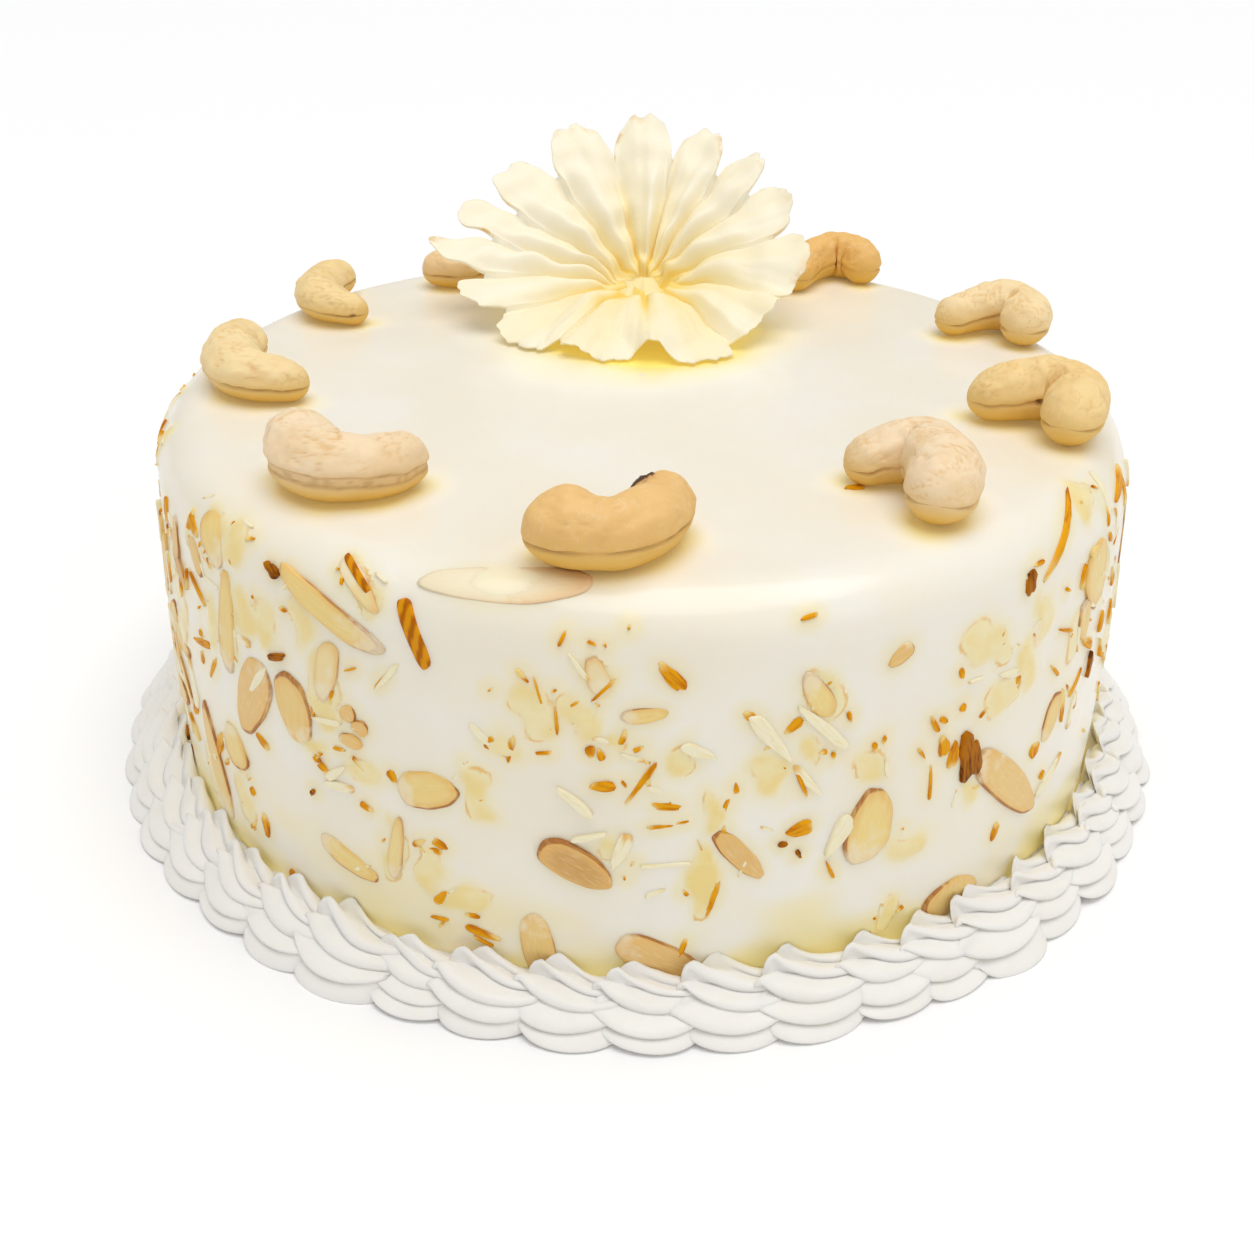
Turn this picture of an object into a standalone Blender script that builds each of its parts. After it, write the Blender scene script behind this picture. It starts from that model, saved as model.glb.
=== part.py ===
"""Nut cake: a round glazed cake with almond slices pressed into its side,
a ring of cashews and a petalled flower on top, and a piped shell border
round its foot.

Units are metres, +Z is up, and the front of the cake faces -Y. The origin
is the centre of the flat underside. An azimuth is measured from the front
(-Y) towards +X, in degrees.
"""
import math
import random

import bmesh
import bpy
import numpy as np
from mathutils import Vector

MM = 0.001

# Cake body
BASE_RADIUS = 103.4 * MM
WALL_HEIGHT = 70.6 * MM
WALL_TAPER = 1.9 * MM
WALL_BULGE = 0.9 * MM
RIM_FILLET = 10.5 * MM
TOP_CROWN = 0.5 * MM
CAKE_SEGMENTS = 80
WALL_ROWS = 2
RIM_ROWS = 4

# Clearance between touching pieces
GAP = 0.3 * MM

# Almond slices on the side
SLICE_SIDES = 8
SLICE_PROUD = 0.9 * MM
SLICE_SUNK = 1.0 * MM
SLICE_TAPER = 0.22
BORDER_CLEAR_HEIGHT = 13.0 * MM
# azimuth (deg), way up the skin to the middle, length, width (mm), turn (deg)
PLACED_SLICES = (
    (-53, 27, 22, 8, -74), (-49, 74, 12, 7, -60), (-46, 59, 22, 7, -94),
    (-43, 45, 18, 8.5, -112), (-36, 49, 14, 8, -76), (-32, 57, 14, 6, -97),
    (-31, 71, 25, 5.5, -23), (-30, 21, 13, 6, -19), (-27.5, 78, 12, 5, -45),
    (-24.5, 28, 15, 4, -97), (-21, 71, 12, 3, -66), (-20, 42, 11.5, 8, 15),
    (-15, 43, 12, 5.5, -75), (-13, 84, 26, 4.5, 7), (-9.5, 61, 13, 4.5, -77),
    (-9.5, 18, 10, 6, -84), (-5.6, 31, 14, 7, -31), (-3.5, 68, 8, 4.5, -72),
    (0.6, 62, 8, 3, 7), (1.8, 18, 14, 7, -32), (6.5, 28, 17, 4, -85),
    (10, 33, 14, 6, -51), (12.5, 55.5, 12, 3, -54), (16, 62, 10, 5.5, -70),
    (22.5, 47, 8, 4, -60), (23, 35, 16, 9, -94), (27.7, 28, 11, 5.5, -5),
    (34.7, 17, 8, 8, -84), (35, 42, 10, 5.5, -78), (41.8, 31, 19, 7.5, -46),
    (48.5, 40, 10, 6, -112), (49, 75, 14, 4.5, -112), (56, 64, 17, 9, -76),
)
SCATTERED_SLICES = 28
SCATTER_FROM = 66.0
SCATTER_TO = 297.0

# Piped shell border
SHELLS = 48
SHELL_PHASE = 1.2
SHELL_RIDGES = 3
SHELL_RIDGE_STEP = 60
SHELL_LOWEST_RIDGE = -28
SHELL_ROWS = 3
SHELL_GIRTH = 6.9 * MM
SHELL_RIDGE_DEPTH = 0.26
# how much wider the ring is piped at the two sides than at the front
SHELL_SIDE_WIDENING = 1.9 * MM
# head, middle and tail of a shell's axis: along the ring, out from the wall, up
SHELL_HEAD = Vector((-8.6, 3.4, 6.2)) * MM
SHELL_MIDDLE = Vector((-2.2, 8.2, 2.6)) * MM
SHELL_TAIL = Vector((11.2, 6.0, 1.8)) * MM

# Cashews: five stations along each one's axis, with x, y, half width and
# half height (mm)
CASHEWS = (
    ((-17.5, -83.5, 6.2, 6.0), (-12.5, -88, 6.6, 6.7), (-4, -89.5, 5.5, 6.1),
     (3, -83, 5.8, 5.9), (4.5, -70, 5.4, 5.3)),
    ((-63, -47.5, 6.2, 6.2), (-60, -61, 7.2, 6.8), (-53, -64.5, 6.2, 6.2),
     (-45, -62, 5.8, 5.8), (-40.5, -54, 5.0, 5.0)),
    ((-86.5, 10, 5.2, 4.8), (-87, -6.5, 6.4, 5.6), (-81.5, -15.5, 5.9, 5.3),
     (-74, -17, 4.9, 4.7), (-68, -15, 3.8, 3.9)),
    ((-73, 60, 4.2, 4.3), (-77.5, 52, 4.9, 4.7), (-78, 39.5, 5.6, 4.8),
     (-71.5, 33.5, 5.1, 4.3), (-64, 33, 3.7, 3.3)),
    ((-55, 66.5, 4.4, 4.2), (-51, 64.5, 5.0, 4.6), (-46.5, 63, 5.2, 4.8),
     (-42, 66.5, 4.8, 4.6), (-38.5, 76.5, 4.2, 4.2)),
    ((12, 79, 4.8, 4.6), (7, 86, 5.2, 5.0), (-1.5, 88, 5.4, 5.2),
     (-10, 85.5, 5.2, 5.0), (-15, 78, 4.6, 4.4)),
    ((36, 60.5, 4.2, 4.0), (41.5, 72, 4.8, 5.0), (48, 77.5, 5.3, 5.7),
     (55, 74.5, 5.2, 5.5), (56, 66.5, 4.4, 4.3)),
    ((68.5, 28.5, 4.2, 3.6), (73.5, 32.5, 4.8, 4.7), (82, 36, 5.4, 5.9),
     (89.5, 31.5, 6.0, 5.8), (84.5, 19.5, 5.0, 4.5)),
    ((65, -21, 4.9, 4.7), (71.5, -22, 5.3, 5.6), (81, -20.5, 6.2, 6.8),
     (86.5, -26.5, 6.5, 6.5), (80, -39, 5.6, 5.3)),
    ((37, -55.5, 4.2, 3.8), (42, -53.5, 4.8, 5.0), (51, -52.5, 6.3, 6.8),
     (54, -63.5, 6.7, 6.8), (49.5, -75.5, 6.5, 5.7)),
)
CASHEW_ROWS = 9
CASHEW_SIDES = 10
CASHEW_FLOOR = 0.15 * MM + GAP
AXIS_STEPS = 240
AXIS_HALF_WINDOW = 20

# Flower of cream petals
FLOWER_CENTRE_Y = 48.0 * MM
HUB_RADIUS = 11.0 * MM
HUB_HEIGHT = 4.4 * MM
HUB_SIDES = 14
PETAL_START = 6.5 * MM
PETAL_FOOT = 2.6 * MM
PETAL_CLEAR = 0.25 * MM
PETAL_STATIONS = (0.0, 0.3, 0.6, 0.85, 1.0)
PETAL_COLUMNS = 4
PETAL_THICKNESS = 1.7 * MM
# azimuth (deg), reach out, tip height, half width, cup, arch (mm), roll (deg)
PETALS = (
    (18, 42.5, 1.9, 13.0, 0.8, 3.2, 0), (47, 37, 5.0, 11.5, 1.4, 2.4, 4),
    (75, 38.5, 16.5, 11.5, 2.0, 0.8, 10), (100, 33.5, 25.5, 11.0, 2.4, 0.0, 18),
    (122, 31, 31.5, 10.5, 2.8, -0.8, 14), (146, 29.5, 34.8, 10.5, 3.0, -1.2, 8),
    (180, 28, 37.8, 11.0, 3.2, -1.6, 0), (217, 31, 36.0, 11.2, 3.2, -1.2, -8),
    (249, 38, 27.0, 11.0, 2.6, -0.4, -18), (265, 45, 19.6, 6.5, 2.2, 0.0, -10),
    (273, 50, 16.0, 4.0, 1.2, 0.4, 0), (286, 46, 6.8, 10.5, 1.8, 1.2, -4),
    (314, 43, 1.9, 11.5, 0.8, 3.0, 0), (343, 41, 1.9, 12.0, 0.8, 3.2, 0),
)


def clear_scene():
    """Remove every object that is already there."""
    for old in list(bpy.data.objects):
        bpy.data.objects.remove(old, do_unlink=True)


def material(name, colour, roughness):
    """A plain Principled material in a food's own colour."""
    made = bpy.data.materials.new(name)
    made.use_nodes = True
    shader = made.node_tree.nodes["Principled BSDF"]
    shader.inputs["Base Color"].default_value = (*colour, 1.0)
    shader.inputs["Roughness"].default_value = roughness
    shader.inputs["Metallic"].default_value = 0.0
    return made


def object_from(bm, name, look=None):
    """Put a bmesh into a named object with outward faces."""
    bmesh.ops.recalc_face_normals(bm, faces=bm.faces)
    mesh = bpy.data.meshes.new(name)
    bm.to_mesh(mesh)
    bm.free()
    made = bpy.data.objects.new(name, mesh)
    bpy.context.scene.collection.objects.link(made)
    if look is not None:
        mesh.materials.append(look)
    return made


def loft(bm, rings, first_pole=None, last_pole=None):
    """Join rings of points into a tube, closed by a pole or a flat face."""
    rows = [[bm.verts.new(point) for point in ring] for ring in rings]
    count = len(rows[0])
    for low, high in zip(rows, rows[1:]):
        for i in range(count):
            j = (i + 1) % count
            bm.faces.new((low[i], low[j], high[j], high[i]))
    for row, pole in ((rows[0], first_pole), (rows[-1], last_pole)):
        if pole is None:
            bm.faces.new(row)
            continue
        tip = bm.verts.new(pole)
        for i in range(count):
            bm.faces.new((row[i], row[(i + 1) % count], tip))


def boolean(target, operation, other=None, group=None, solver="EXACT"):
    """Apply one Boolean with an object or a whole collection."""
    cut = target.modifiers.new(operation.lower(), "BOOLEAN")
    cut.operation = operation
    cut.solver = solver
    if group is None:
        cut.object = other
    else:
        cut.operand_type = "COLLECTION"
        cut.collection = group
    bpy.context.view_layer.update()
    evaluated = target.evaluated_get(bpy.context.evaluated_depsgraph_get())
    joined = bpy.data.meshes.new_from_object(evaluated)
    target.modifiers.remove(cut)
    target.data = joined


def gather(pieces, name):
    """Move loose pieces into a collection of their own."""
    group = bpy.data.collections.new(name)
    bpy.context.scene.collection.children.link(group)
    for piece in pieces:
        bpy.context.scene.collection.objects.unlink(piece)
        group.objects.link(piece)
    return group


def discard(group):
    """Remove a collection and the objects in it."""
    for piece in list(group.objects):
        bpy.data.objects.remove(piece, do_unlink=True)
    bpy.data.collections.remove(group)


def keep_largest_body(target, weld=0.01 * MM):
    """Weld a Boolean's near-double points and drop any loose scraps."""
    bm = bmesh.new()
    bm.from_mesh(target.data)
    bmesh.ops.remove_doubles(bm, verts=bm.verts, dist=weld)
    bm.verts.ensure_lookup_table()
    seen = set()
    bodies = []
    for start in bm.verts:
        if start in seen:
            continue
        body = [start]
        seen.add(start)
        for vert in body:
            for edge in vert.link_edges:
                other = edge.other_vert(vert)
                if other not in seen:
                    seen.add(other)
                    body.append(other)
        bodies.append(body)
    bodies.sort(key=len)
    loose = [vert for body in bodies[:-1] for vert in body]
    bmesh.ops.delete(bm, geom=loose, context="VERTS")
    bm.to_mesh(target.data)
    bm.free()


def shade_round(target):
    """Shade round surfaces smooth, keeping edges over 40 degrees sharp."""
    target.data.shade_smooth()
    target.data.set_sharp_from_angle(angle=math.radians(40))


def wall_radius(z):
    """Radius of the cake's side at a height: a taper with a soft bulge."""
    share = min(max(z / WALL_HEIGHT, 0.0), 1.0)
    return BASE_RADIUS - WALL_TAPER * share + WALL_BULGE * math.sin(math.pi * share)


RIM_TOP_RADIUS = wall_radius(WALL_HEIGHT) - RIM_FILLET
TOP_HEIGHT = WALL_HEIGHT + RIM_FILLET
RIM_ARC = RIM_FILLET * math.pi / 2


def skin(path):
    """Radius, height and outward slope at a path length up the cake.

    The path climbs the side, turns over the rounded rim and then runs in
    across the top.
    """
    if path <= WALL_HEIGHT:
        return wall_radius(path), path, 0.0
    if path <= WALL_HEIGHT + RIM_ARC:
        slope = (path - WALL_HEIGHT) / RIM_FILLET
        radius = RIM_TOP_RADIUS + RIM_FILLET * math.cos(slope)
        return radius, WALL_HEIGHT + RIM_FILLET * math.sin(slope), slope
    inward = path - WALL_HEIGHT - RIM_ARC
    return RIM_TOP_RADIUS - inward, TOP_HEIGHT, math.pi / 2


def skin_point(azimuth, path, lift):
    """A point on the cake's skin, lifted along its outward normal."""
    radius, height, slope = skin(path)
    radius += lift * math.cos(slope)
    height += lift * math.sin(slope)
    return Vector((radius * math.sin(azimuth), -radius * math.cos(azimuth), height))


def cake_body(look):
    """Turned solid: flat foot, tapered side, rounded rim, low crown."""
    rows = [skin(WALL_HEIGHT * i / WALL_ROWS)[:2] for i in range(WALL_ROWS + 1)]
    for i in range(1, RIM_ROWS + 1):
        rows.append(skin(WALL_HEIGHT + RIM_ARC * i / RIM_ROWS)[:2])
    bm = bmesh.new()
    rings = []
    for radius, height in rows:
        ring = []
        for i in range(CAKE_SEGMENTS):
            angle = math.tau * i / CAKE_SEGMENTS
            ring.append((radius * math.sin(angle), -radius * math.cos(angle), height))
        rings.append(ring)
    loft(bm, rings, last_pole=(0, 0, TOP_HEIGHT + TOP_CROWN))
    return object_from(bm, "cake", look)


def almond_slice(azimuth_deg, height, length, width, turn_deg):
    """A thin almond slice: an egg-shaped plate bent round the cake's skin."""
    outline = []
    turn = math.radians(turn_deg)
    for i in range(SLICE_SIDES):
        angle = math.tau * i / SLICE_SIDES
        along = 0.5 * length * math.cos(angle)
        narrowing = 1.0 - SLICE_TAPER * math.cos(angle)
        across = 0.5 * width * math.sin(angle) * narrowing
        outline.append((along * math.cos(turn) - across * math.sin(turn),
                        along * math.sin(turn) + across * math.cos(turn)))
    lowest = height + min(up for _, up in outline)
    lift = max(0.0, BORDER_CLEAR_HEIGHT - lowest)
    middle = math.radians(azimuth_deg)
    radius = skin(height)[0]
    bm = bmesh.new()
    rings = []
    for depth, spread in ((-SLICE_SUNK, 1.0), (SLICE_PROUD * 0.4, 1.0), (SLICE_PROUD, 0.84)):
        rings.append([skin_point(middle + side * spread / radius,
                                 height + lift + up * spread, depth)
                      for side, up in outline])
    loft(bm, rings)
    return object_from(bm, "slice")


def almond_slices():
    """The placed slices of the front and a seeded scatter round the back."""
    pieces = []
    for azimuth, height, length, width, turn in PLACED_SLICES:
        pieces.append(almond_slice(azimuth, height * MM, length * MM, width * MM, turn))
    draw = random.Random(7)
    step = (SCATTER_TO - SCATTER_FROM) / SCATTERED_SLICES
    heights = (24, 50, 36, 64, 30, 57, 43)
    for i in range(SCATTERED_SLICES):
        azimuth = SCATTER_FROM + step * (i + 0.5) + draw.uniform(-1.2, 1.2)
        height = heights[i % len(heights)] + draw.uniform(-3, 3)
        length = draw.uniform(9, 18)
        width = length * draw.uniform(0.35, 0.52)
        turn = draw.uniform(-115, -35)
        pieces.append(almond_slice(azimuth, height * MM, length * MM, width * MM, turn))
    return pieces


def build_cake():
    """Cake body with every almond slice fused to its side."""
    glaze = material("glazed_cake", (0.87, 0.83, 0.70), 0.28)
    cake = cake_body(glaze)
    slices = gather(almond_slices(), "almond_slices")
    boolean(cake, "UNION", group=slices)
    discard(slices)
    keep_largest_body(cake)
    shade_round(cake)
    return cake


def ring_point(along, out, up, azimuth):
    """Place a shell's own along, out and up on the ring round the cake."""
    angle = azimuth + along / (BASE_RADIUS + SHELL_MIDDLE.y)
    radius = BASE_RADIUS + out + SHELL_SIDE_WIDENING * abs(math.sin(angle))
    return Vector((radius * math.sin(angle), -radius * math.cos(angle), up))


def shell(index):
    """One piped shell: a ridged section carried down a curved axis.

    The axis is a quadratic curve from the head, high at the wall, to the
    tail. The section has crests and valleys on its open side and one plain
    corner on the side that the cake hides. The girth swells fast behind
    the head and narrows to the tail.
    """
    azimuth = math.radians(SHELL_PHASE) + math.tau * index / SHELLS
    size = 1.0 + 0.05 * math.sin(2.4 * index)
    girth = SHELL_GIRTH * size
    section = [(SHELL_LOWEST_RIDGE - SHELL_RIDGE_STEP / 2 + SHELL_RIDGE_STEP / 2 * i,
                -1.0 if i % 2 == 0 else 1.0) for i in range(2 * SHELL_RIDGES + 1)]
    section.append((195.0, 5.0))
    bm = bmesh.new()
    rings = []
    for row in range(1, SHELL_ROWS + 1):
        t = row / (SHELL_ROWS + 1)
        a, b, c = (1 - t) ** 2, 2 * t * (1 - t), t * t
        centre = SHELL_HEAD * a + SHELL_MIDDLE * b + SHELL_TAIL * c
        along = ((SHELL_MIDDLE - SHELL_HEAD) * (1 - t) + (SHELL_TAIL - SHELL_MIDDLE) * t)
        along.normalize()
        outward = Vector((0, 1, 0))
        outward = (outward - along * outward.dot(along)).normalized()
        upward = outward.cross(along) * -1
        swell = 1.9 * t ** 0.5 * (1 - t) ** 0.75
        ring = []
        for angle_deg, ridge in section:
            angle = math.radians(angle_deg)
            reach = girth * swell * (1.0 + 0.5 * SHELL_RIDGE_DEPTH * ridge)
            point = centre + outward * (reach * math.cos(angle)) + upward * (reach * math.sin(angle))
            ring.append(ring_point(point.x, point.y, point.z, azimuth))
        rings.append(ring)
    loft(bm, rings,
         first_pole=ring_point(*SHELL_HEAD, azimuth),
         last_pole=ring_point(*SHELL_TAIL, azimuth))
    return object_from(bm, "shell")


def border_cutter():
    """Everything the border keeps clear of: the cake's side and the ground."""
    side = (BASE_RADIUS + WALL_BULGE + GAP) / math.cos(math.pi / SHELLS)
    wide = BASE_RADIUS + 40 * MM
    bm = bmesh.new()
    rings = []
    for radius, height in ((wide, -20 * MM), (wide, 0.0), (side, 0.0), (side, 30 * MM)):
        ring = []
        for i in range(SHELLS):
            angle = math.tau * i / SHELLS
            ring.append((radius * math.sin(angle), -radius * math.cos(angle), height))
        rings.append(ring)
    loft(bm, rings)
    cutter = object_from(bm, "border_cutter")
    cutter.hide_render = True
    cutter.display_type = "WIRE"
    return cutter


def build_border():
    """All shells fused into one ring, cut clear of the cake and the ground."""
    cream = material("piped_cream", (0.92, 0.90, 0.86), 0.45)
    first = shell(0)
    first.name = "shell_border"
    first.data.materials.append(cream)
    others = gather([shell(i) for i in range(1, SHELLS)], "shells")
    boolean(first, "UNION", group=others)
    discard(others)
    cutter = border_cutter()
    boolean(first, "DIFFERENCE", other=cutter)
    bpy.data.objects.remove(cutter, do_unlink=True)
    keep_largest_body(first, weld=0.2 * MM)
    shade_round(first)
    return first


def soft_axis(stations, count):
    """Shares along a cashew's axis, its points, half widths and heights.

    The straight runs between the stations are smoothed three times by a
    running mean. Samples lie closer together towards the two ends.
    """
    stations = np.array(stations)
    fine = np.linspace(0, len(stations) - 1, AXIS_STEPS + 1)
    line = np.stack([np.interp(fine, np.arange(len(stations)), column)
                     for column in stations.T], -1)
    reach, window = AXIS_HALF_WINDOW, 2 * AXIS_HALF_WINDOW + 1
    for _ in range(3):
        before = 2 * line[:1] - line[reach:0:-1]
        after = 2 * line[-1:] - line[-2:-reach - 2:-1]
        padded = np.concatenate([before[:1] * 0, before, line, after])
        total = np.cumsum(padded, 0)
        line = (total[window:] - total[:-window]) / window
    run = np.concatenate([[0], np.cumsum(np.hypot(*np.diff(line[:, :2], axis=0).T))])
    share = 0.5 - 0.5 * np.cos(np.linspace(0, math.pi, count))
    sampled = np.stack([np.interp(share * run[-1], run, column) for column in line.T], -1)
    return share, sampled, run[-1]


def build_cashew(number, stations, look):
    """One cashew: an oval section carried along a bent axis, lying flat.

    The half widths and heights follow the axis and are closed by two round
    noses, each as long as the half width at its end.
    """
    share, sampled, length = soft_axis(stations, CASHEW_ROWS + 2)
    x, y, width, high = sampled.T
    heading = np.arctan2(np.gradient(y), np.gradient(x))
    nose = np.clip(share * length / width[0], 0, 1), np.clip((1 - share) * length / width[-1], 0, 1)
    cap = np.sqrt(1 - (1 - nose[0]) ** 2) * np.sqrt(1 - (1 - nose[1]) ** 2)
    rings = []
    for k in range(CASHEW_ROWS + 2):
        centre = Vector((x[k] * MM, y[k] * MM, TOP_HEIGHT + CASHEW_FLOOR + high[k] * MM))
        side = Vector((-math.sin(heading[k]), math.cos(heading[k]), 0)) * width[k] * cap[k] * MM
        up = Vector((0, 0, high[k] * cap[k] * MM))
        angles = [math.tau * i / CASHEW_SIDES for i in range(CASHEW_SIDES)]
        rings.append([centre + side * math.cos(a) + up * math.sin(a) for a in angles])
    bm = bmesh.new()
    loft(bm, rings[1:-1], first_pole=rings[0][0], last_pole=rings[-1][0])
    nut = object_from(bm, "cashew_%d" % number, look)
    shade_round(nut)
    return nut


def petal(azimuth_deg, reach, tip_height, half_width, cup, arch, roll_deg):
    """One petal: a boat-shaped sheet carried out and up from the hub.

    The midrib runs straight out while it climbs, and arch bows it up or
    down in the middle. Across, the edges stand up by the cup, and the whole
    sheet is rolled about its midrib towards the front. It widens from the
    hub and rounds to its tip. The under face is the upper one moved by the
    thickness.
    """
    azimuth = math.radians(azimuth_deg)
    out = Vector((math.sin(azimuth), -math.cos(azimuth), 0))
    centre = Vector((0, FLOWER_CENTRE_Y, TOP_HEIGHT + TOP_CROWN + GAP))
    lowest = centre.z + PETAL_CLEAR
    midrib = (out * reach + Vector((0, 0, tip_height))).normalized()
    side = Vector((math.cos(azimuth), math.sin(azimuth), 0))
    lean = side.cross(midrib) * -1
    if lean.z < 0:
        lean.negate()
    roll = math.radians(roll_deg)
    side = (side * math.cos(roll) + lean * math.sin(roll)).normalized()
    upper = []
    lower = []
    for t in PETAL_STATIONS:
        along = PETAL_START + (reach * MM - PETAL_START) * t
        rise = PETAL_FOOT + (tip_height * MM - PETAL_FOOT) * t ** 1.15
        rise += arch * MM * math.sin(math.pi * t)
        width = 0.3 + 0.7 * math.sin(0.5 * math.pi * min(t / 0.65, 1.0))
        width *= math.sqrt(1.0 - 0.89 * max(0.0, (t - 0.6) / 0.4) ** 2.5)
        top_row = []
        for j in range(PETAL_COLUMNS + 1):
            v = 2.0 * j / PETAL_COLUMNS - 1.0
            lift = cup * MM * v * v * math.sin(math.pi * min(0.15 + 0.7 * t, 1.0))
            point = centre + out * along + Vector((0, 0, rise))
            point += side * (v * width * half_width * MM) + lean * lift
            point.z = max(point.z, lowest + PETAL_THICKNESS)
            top_row.append(point)
        upper.append(top_row)
        lower.append([point - lean * PETAL_THICKNESS for point in top_row])
    bm = bmesh.new()
    rings = []
    for top_row, low_row in zip(upper, lower):
        for point in low_row:
            point.z = max(point.z, lowest)
        rings.append(top_row + low_row[::-1])
    loft(bm, rings)
    return object_from(bm, "petal")


def flower_hub():
    """Low round boss that the petals grow from."""
    bm = bmesh.new()
    floor = TOP_HEIGHT + TOP_CROWN + GAP
    rings = []
    for share, height in ((1.0, 0.0), (1.0, 0.35), (0.7, 0.85)):
        ring = []
        for i in range(HUB_SIDES):
            angle = math.tau * i / HUB_SIDES
            ring.append((HUB_RADIUS * share * math.sin(angle),
                         FLOWER_CENTRE_Y - HUB_RADIUS * share * math.cos(angle),
                         floor + HUB_HEIGHT * height))
        rings.append(ring)
    loft(bm, rings, last_pole=(0, FLOWER_CENTRE_Y, floor + HUB_HEIGHT))
    return object_from(bm, "flower")


def build_flower():
    """Hub and petals fused into one flower standing on the top."""
    cream = material("petal_cream", (0.93, 0.88, 0.70), 0.4)
    flower = flower_hub()
    flower.data.materials.append(cream)
    petals = gather([petal(*row) for row in PETALS], "petals")
    boolean(flower, "UNION", group=petals)
    discard(petals)
    keep_largest_body(flower)
    shade_round(flower)
    return flower


def main():
    """Build every piece of the cake."""
    clear_scene()
    build_cake()
    build_border()
    build_flower()
    nut_look = material("cashew_skin", (0.80, 0.55, 0.30), 0.5)
    for number, stations in enumerate(CASHEWS, start=1):
        build_cashew(number, stations, nut_look)


main()
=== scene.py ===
"""Looks of the nut cake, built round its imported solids.

Lengths in the functions below are millimetres and become metres when a
piece is made. The cake stands on its origin with its front towards -Y. An
azimuth runs from the front towards +X, and a path runs up the skin: up the
side, over the rounded rim and in across the top.
"""

import math

import bpy
import numpy as np
from mathutils import Matrix, Vector


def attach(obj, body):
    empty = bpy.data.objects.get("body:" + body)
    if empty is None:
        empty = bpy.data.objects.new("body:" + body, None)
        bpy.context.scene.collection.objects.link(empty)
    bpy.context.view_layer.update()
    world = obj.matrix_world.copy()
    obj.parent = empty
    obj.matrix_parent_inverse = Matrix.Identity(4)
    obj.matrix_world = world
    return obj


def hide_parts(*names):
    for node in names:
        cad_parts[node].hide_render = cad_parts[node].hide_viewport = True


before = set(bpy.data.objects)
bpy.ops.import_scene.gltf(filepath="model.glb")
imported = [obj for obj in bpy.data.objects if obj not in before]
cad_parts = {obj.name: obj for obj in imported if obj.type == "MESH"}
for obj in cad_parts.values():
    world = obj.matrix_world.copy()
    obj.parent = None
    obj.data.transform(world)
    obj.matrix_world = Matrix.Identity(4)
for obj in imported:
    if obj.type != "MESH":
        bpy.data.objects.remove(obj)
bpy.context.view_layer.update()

MM = 0.001
PICTURE = 1254.0

# Camera fitted to the photograph, in millimetres and degrees
LENS_PIXELS = 1477.0
RAY_NEAR, RAY_FAR, RAY_STEP = 150.0, 420.0, 0.25
CAMERA = np.array([0.0, -301.5, 191.5])
CAMERA_DOWN, CAMERA_YAW, CAMERA_ROLL = np.radians([29.72, -0.52, 0.53])

# The cake's skin, as in the solids
BASE_RADIUS = 103.4
WALL_HEIGHT = 70.6
WALL_TAPER = 1.9
WALL_BULGE = 0.9
RIM_FILLET = 10.5
TOP_CROWN = 0.5
RIM_ARC = RIM_FILLET * math.pi / 2
RIM_TOP_RADIUS = BASE_RADIUS - WALL_TAPER - RIM_FILLET
TOP_HEIGHT = WALL_HEIGHT + RIM_FILLET
NUT_FLOOR = TOP_HEIGHT

# Cashews: five stations along each one's axis, with x, y, half width and
# half height, as in the solids
CASHEWS = (
    ((-17.5, -83.5, 6.2, 6.0), (-12.5, -88, 6.6, 6.7), (-4, -89.5, 5.5, 6.1),
     (3, -83, 5.8, 5.9), (4.5, -70, 5.4, 5.3)),
    ((-63, -47.5, 6.2, 6.2), (-60, -61, 7.2, 6.8), (-53, -64.5, 6.2, 6.2),
     (-45, -62, 5.8, 5.8), (-40.5, -54, 5.0, 5.0)),
    ((-86.5, 10, 5.2, 4.8), (-87, -6.5, 6.4, 5.6), (-81.5, -15.5, 5.9, 5.3),
     (-74, -17, 4.9, 4.7), (-68, -15, 3.8, 3.9)),
    ((-73, 60, 4.2, 4.3), (-77.5, 52, 4.9, 4.7), (-78, 39.5, 5.6, 4.8),
     (-71.5, 33.5, 5.1, 4.3), (-64, 33, 3.7, 3.3)),
    ((-55, 66.5, 4.4, 4.2), (-51, 64.5, 5.0, 4.6), (-46.5, 63, 5.2, 4.8),
     (-42, 66.5, 4.8, 4.6), (-38.5, 76.5, 4.2, 4.2)),
    ((12, 79, 4.8, 4.6), (7, 86, 5.2, 5.0), (-1.5, 88, 5.4, 5.2),
     (-10, 85.5, 5.2, 5.0), (-15, 78, 4.6, 4.4)),
    ((36, 60.5, 4.2, 4.0), (41.5, 72, 4.8, 5.0), (48, 77.5, 5.3, 5.7),
     (55, 74.5, 5.2, 5.5), (56, 66.5, 4.4, 4.3)),
    ((68.5, 28.5, 4.2, 3.6), (73.5, 32.5, 4.8, 4.7), (82, 36, 5.4, 5.9),
     (89.5, 31.5, 6.0, 5.8), (84.5, 19.5, 5.0, 4.5)),
    ((65, -21, 4.9, 4.7), (71.5, -22, 5.3, 5.6), (81, -20.5, 6.2, 6.8),
     (86.5, -26.5, 6.5, 6.5), (80, -39, 5.6, 5.3)),
    ((37, -55.5, 4.2, 3.8), (42, -53.5, 4.8, 5.0), (51, -52.5, 6.3, 6.8),
     (54, -63.5, 6.7, 6.8), (49.5, -75.5, 6.5, 5.7)),
)

# Dark spots on the nuts: which nut, share of its length, angle round it from
# the level side that its left arm looks to, half length and half width
NUT_SPOTS = ((1, 0.775, 43, 3.1, 3.2), (1, 0.03, -12, 1.1, 0.9), (9, 0.37, 187, 1.2, 0.7),
             (4, 0.93, 186, 1.0, 0.7), (7, 0.62, 192, 1.4, 0.9))

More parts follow.
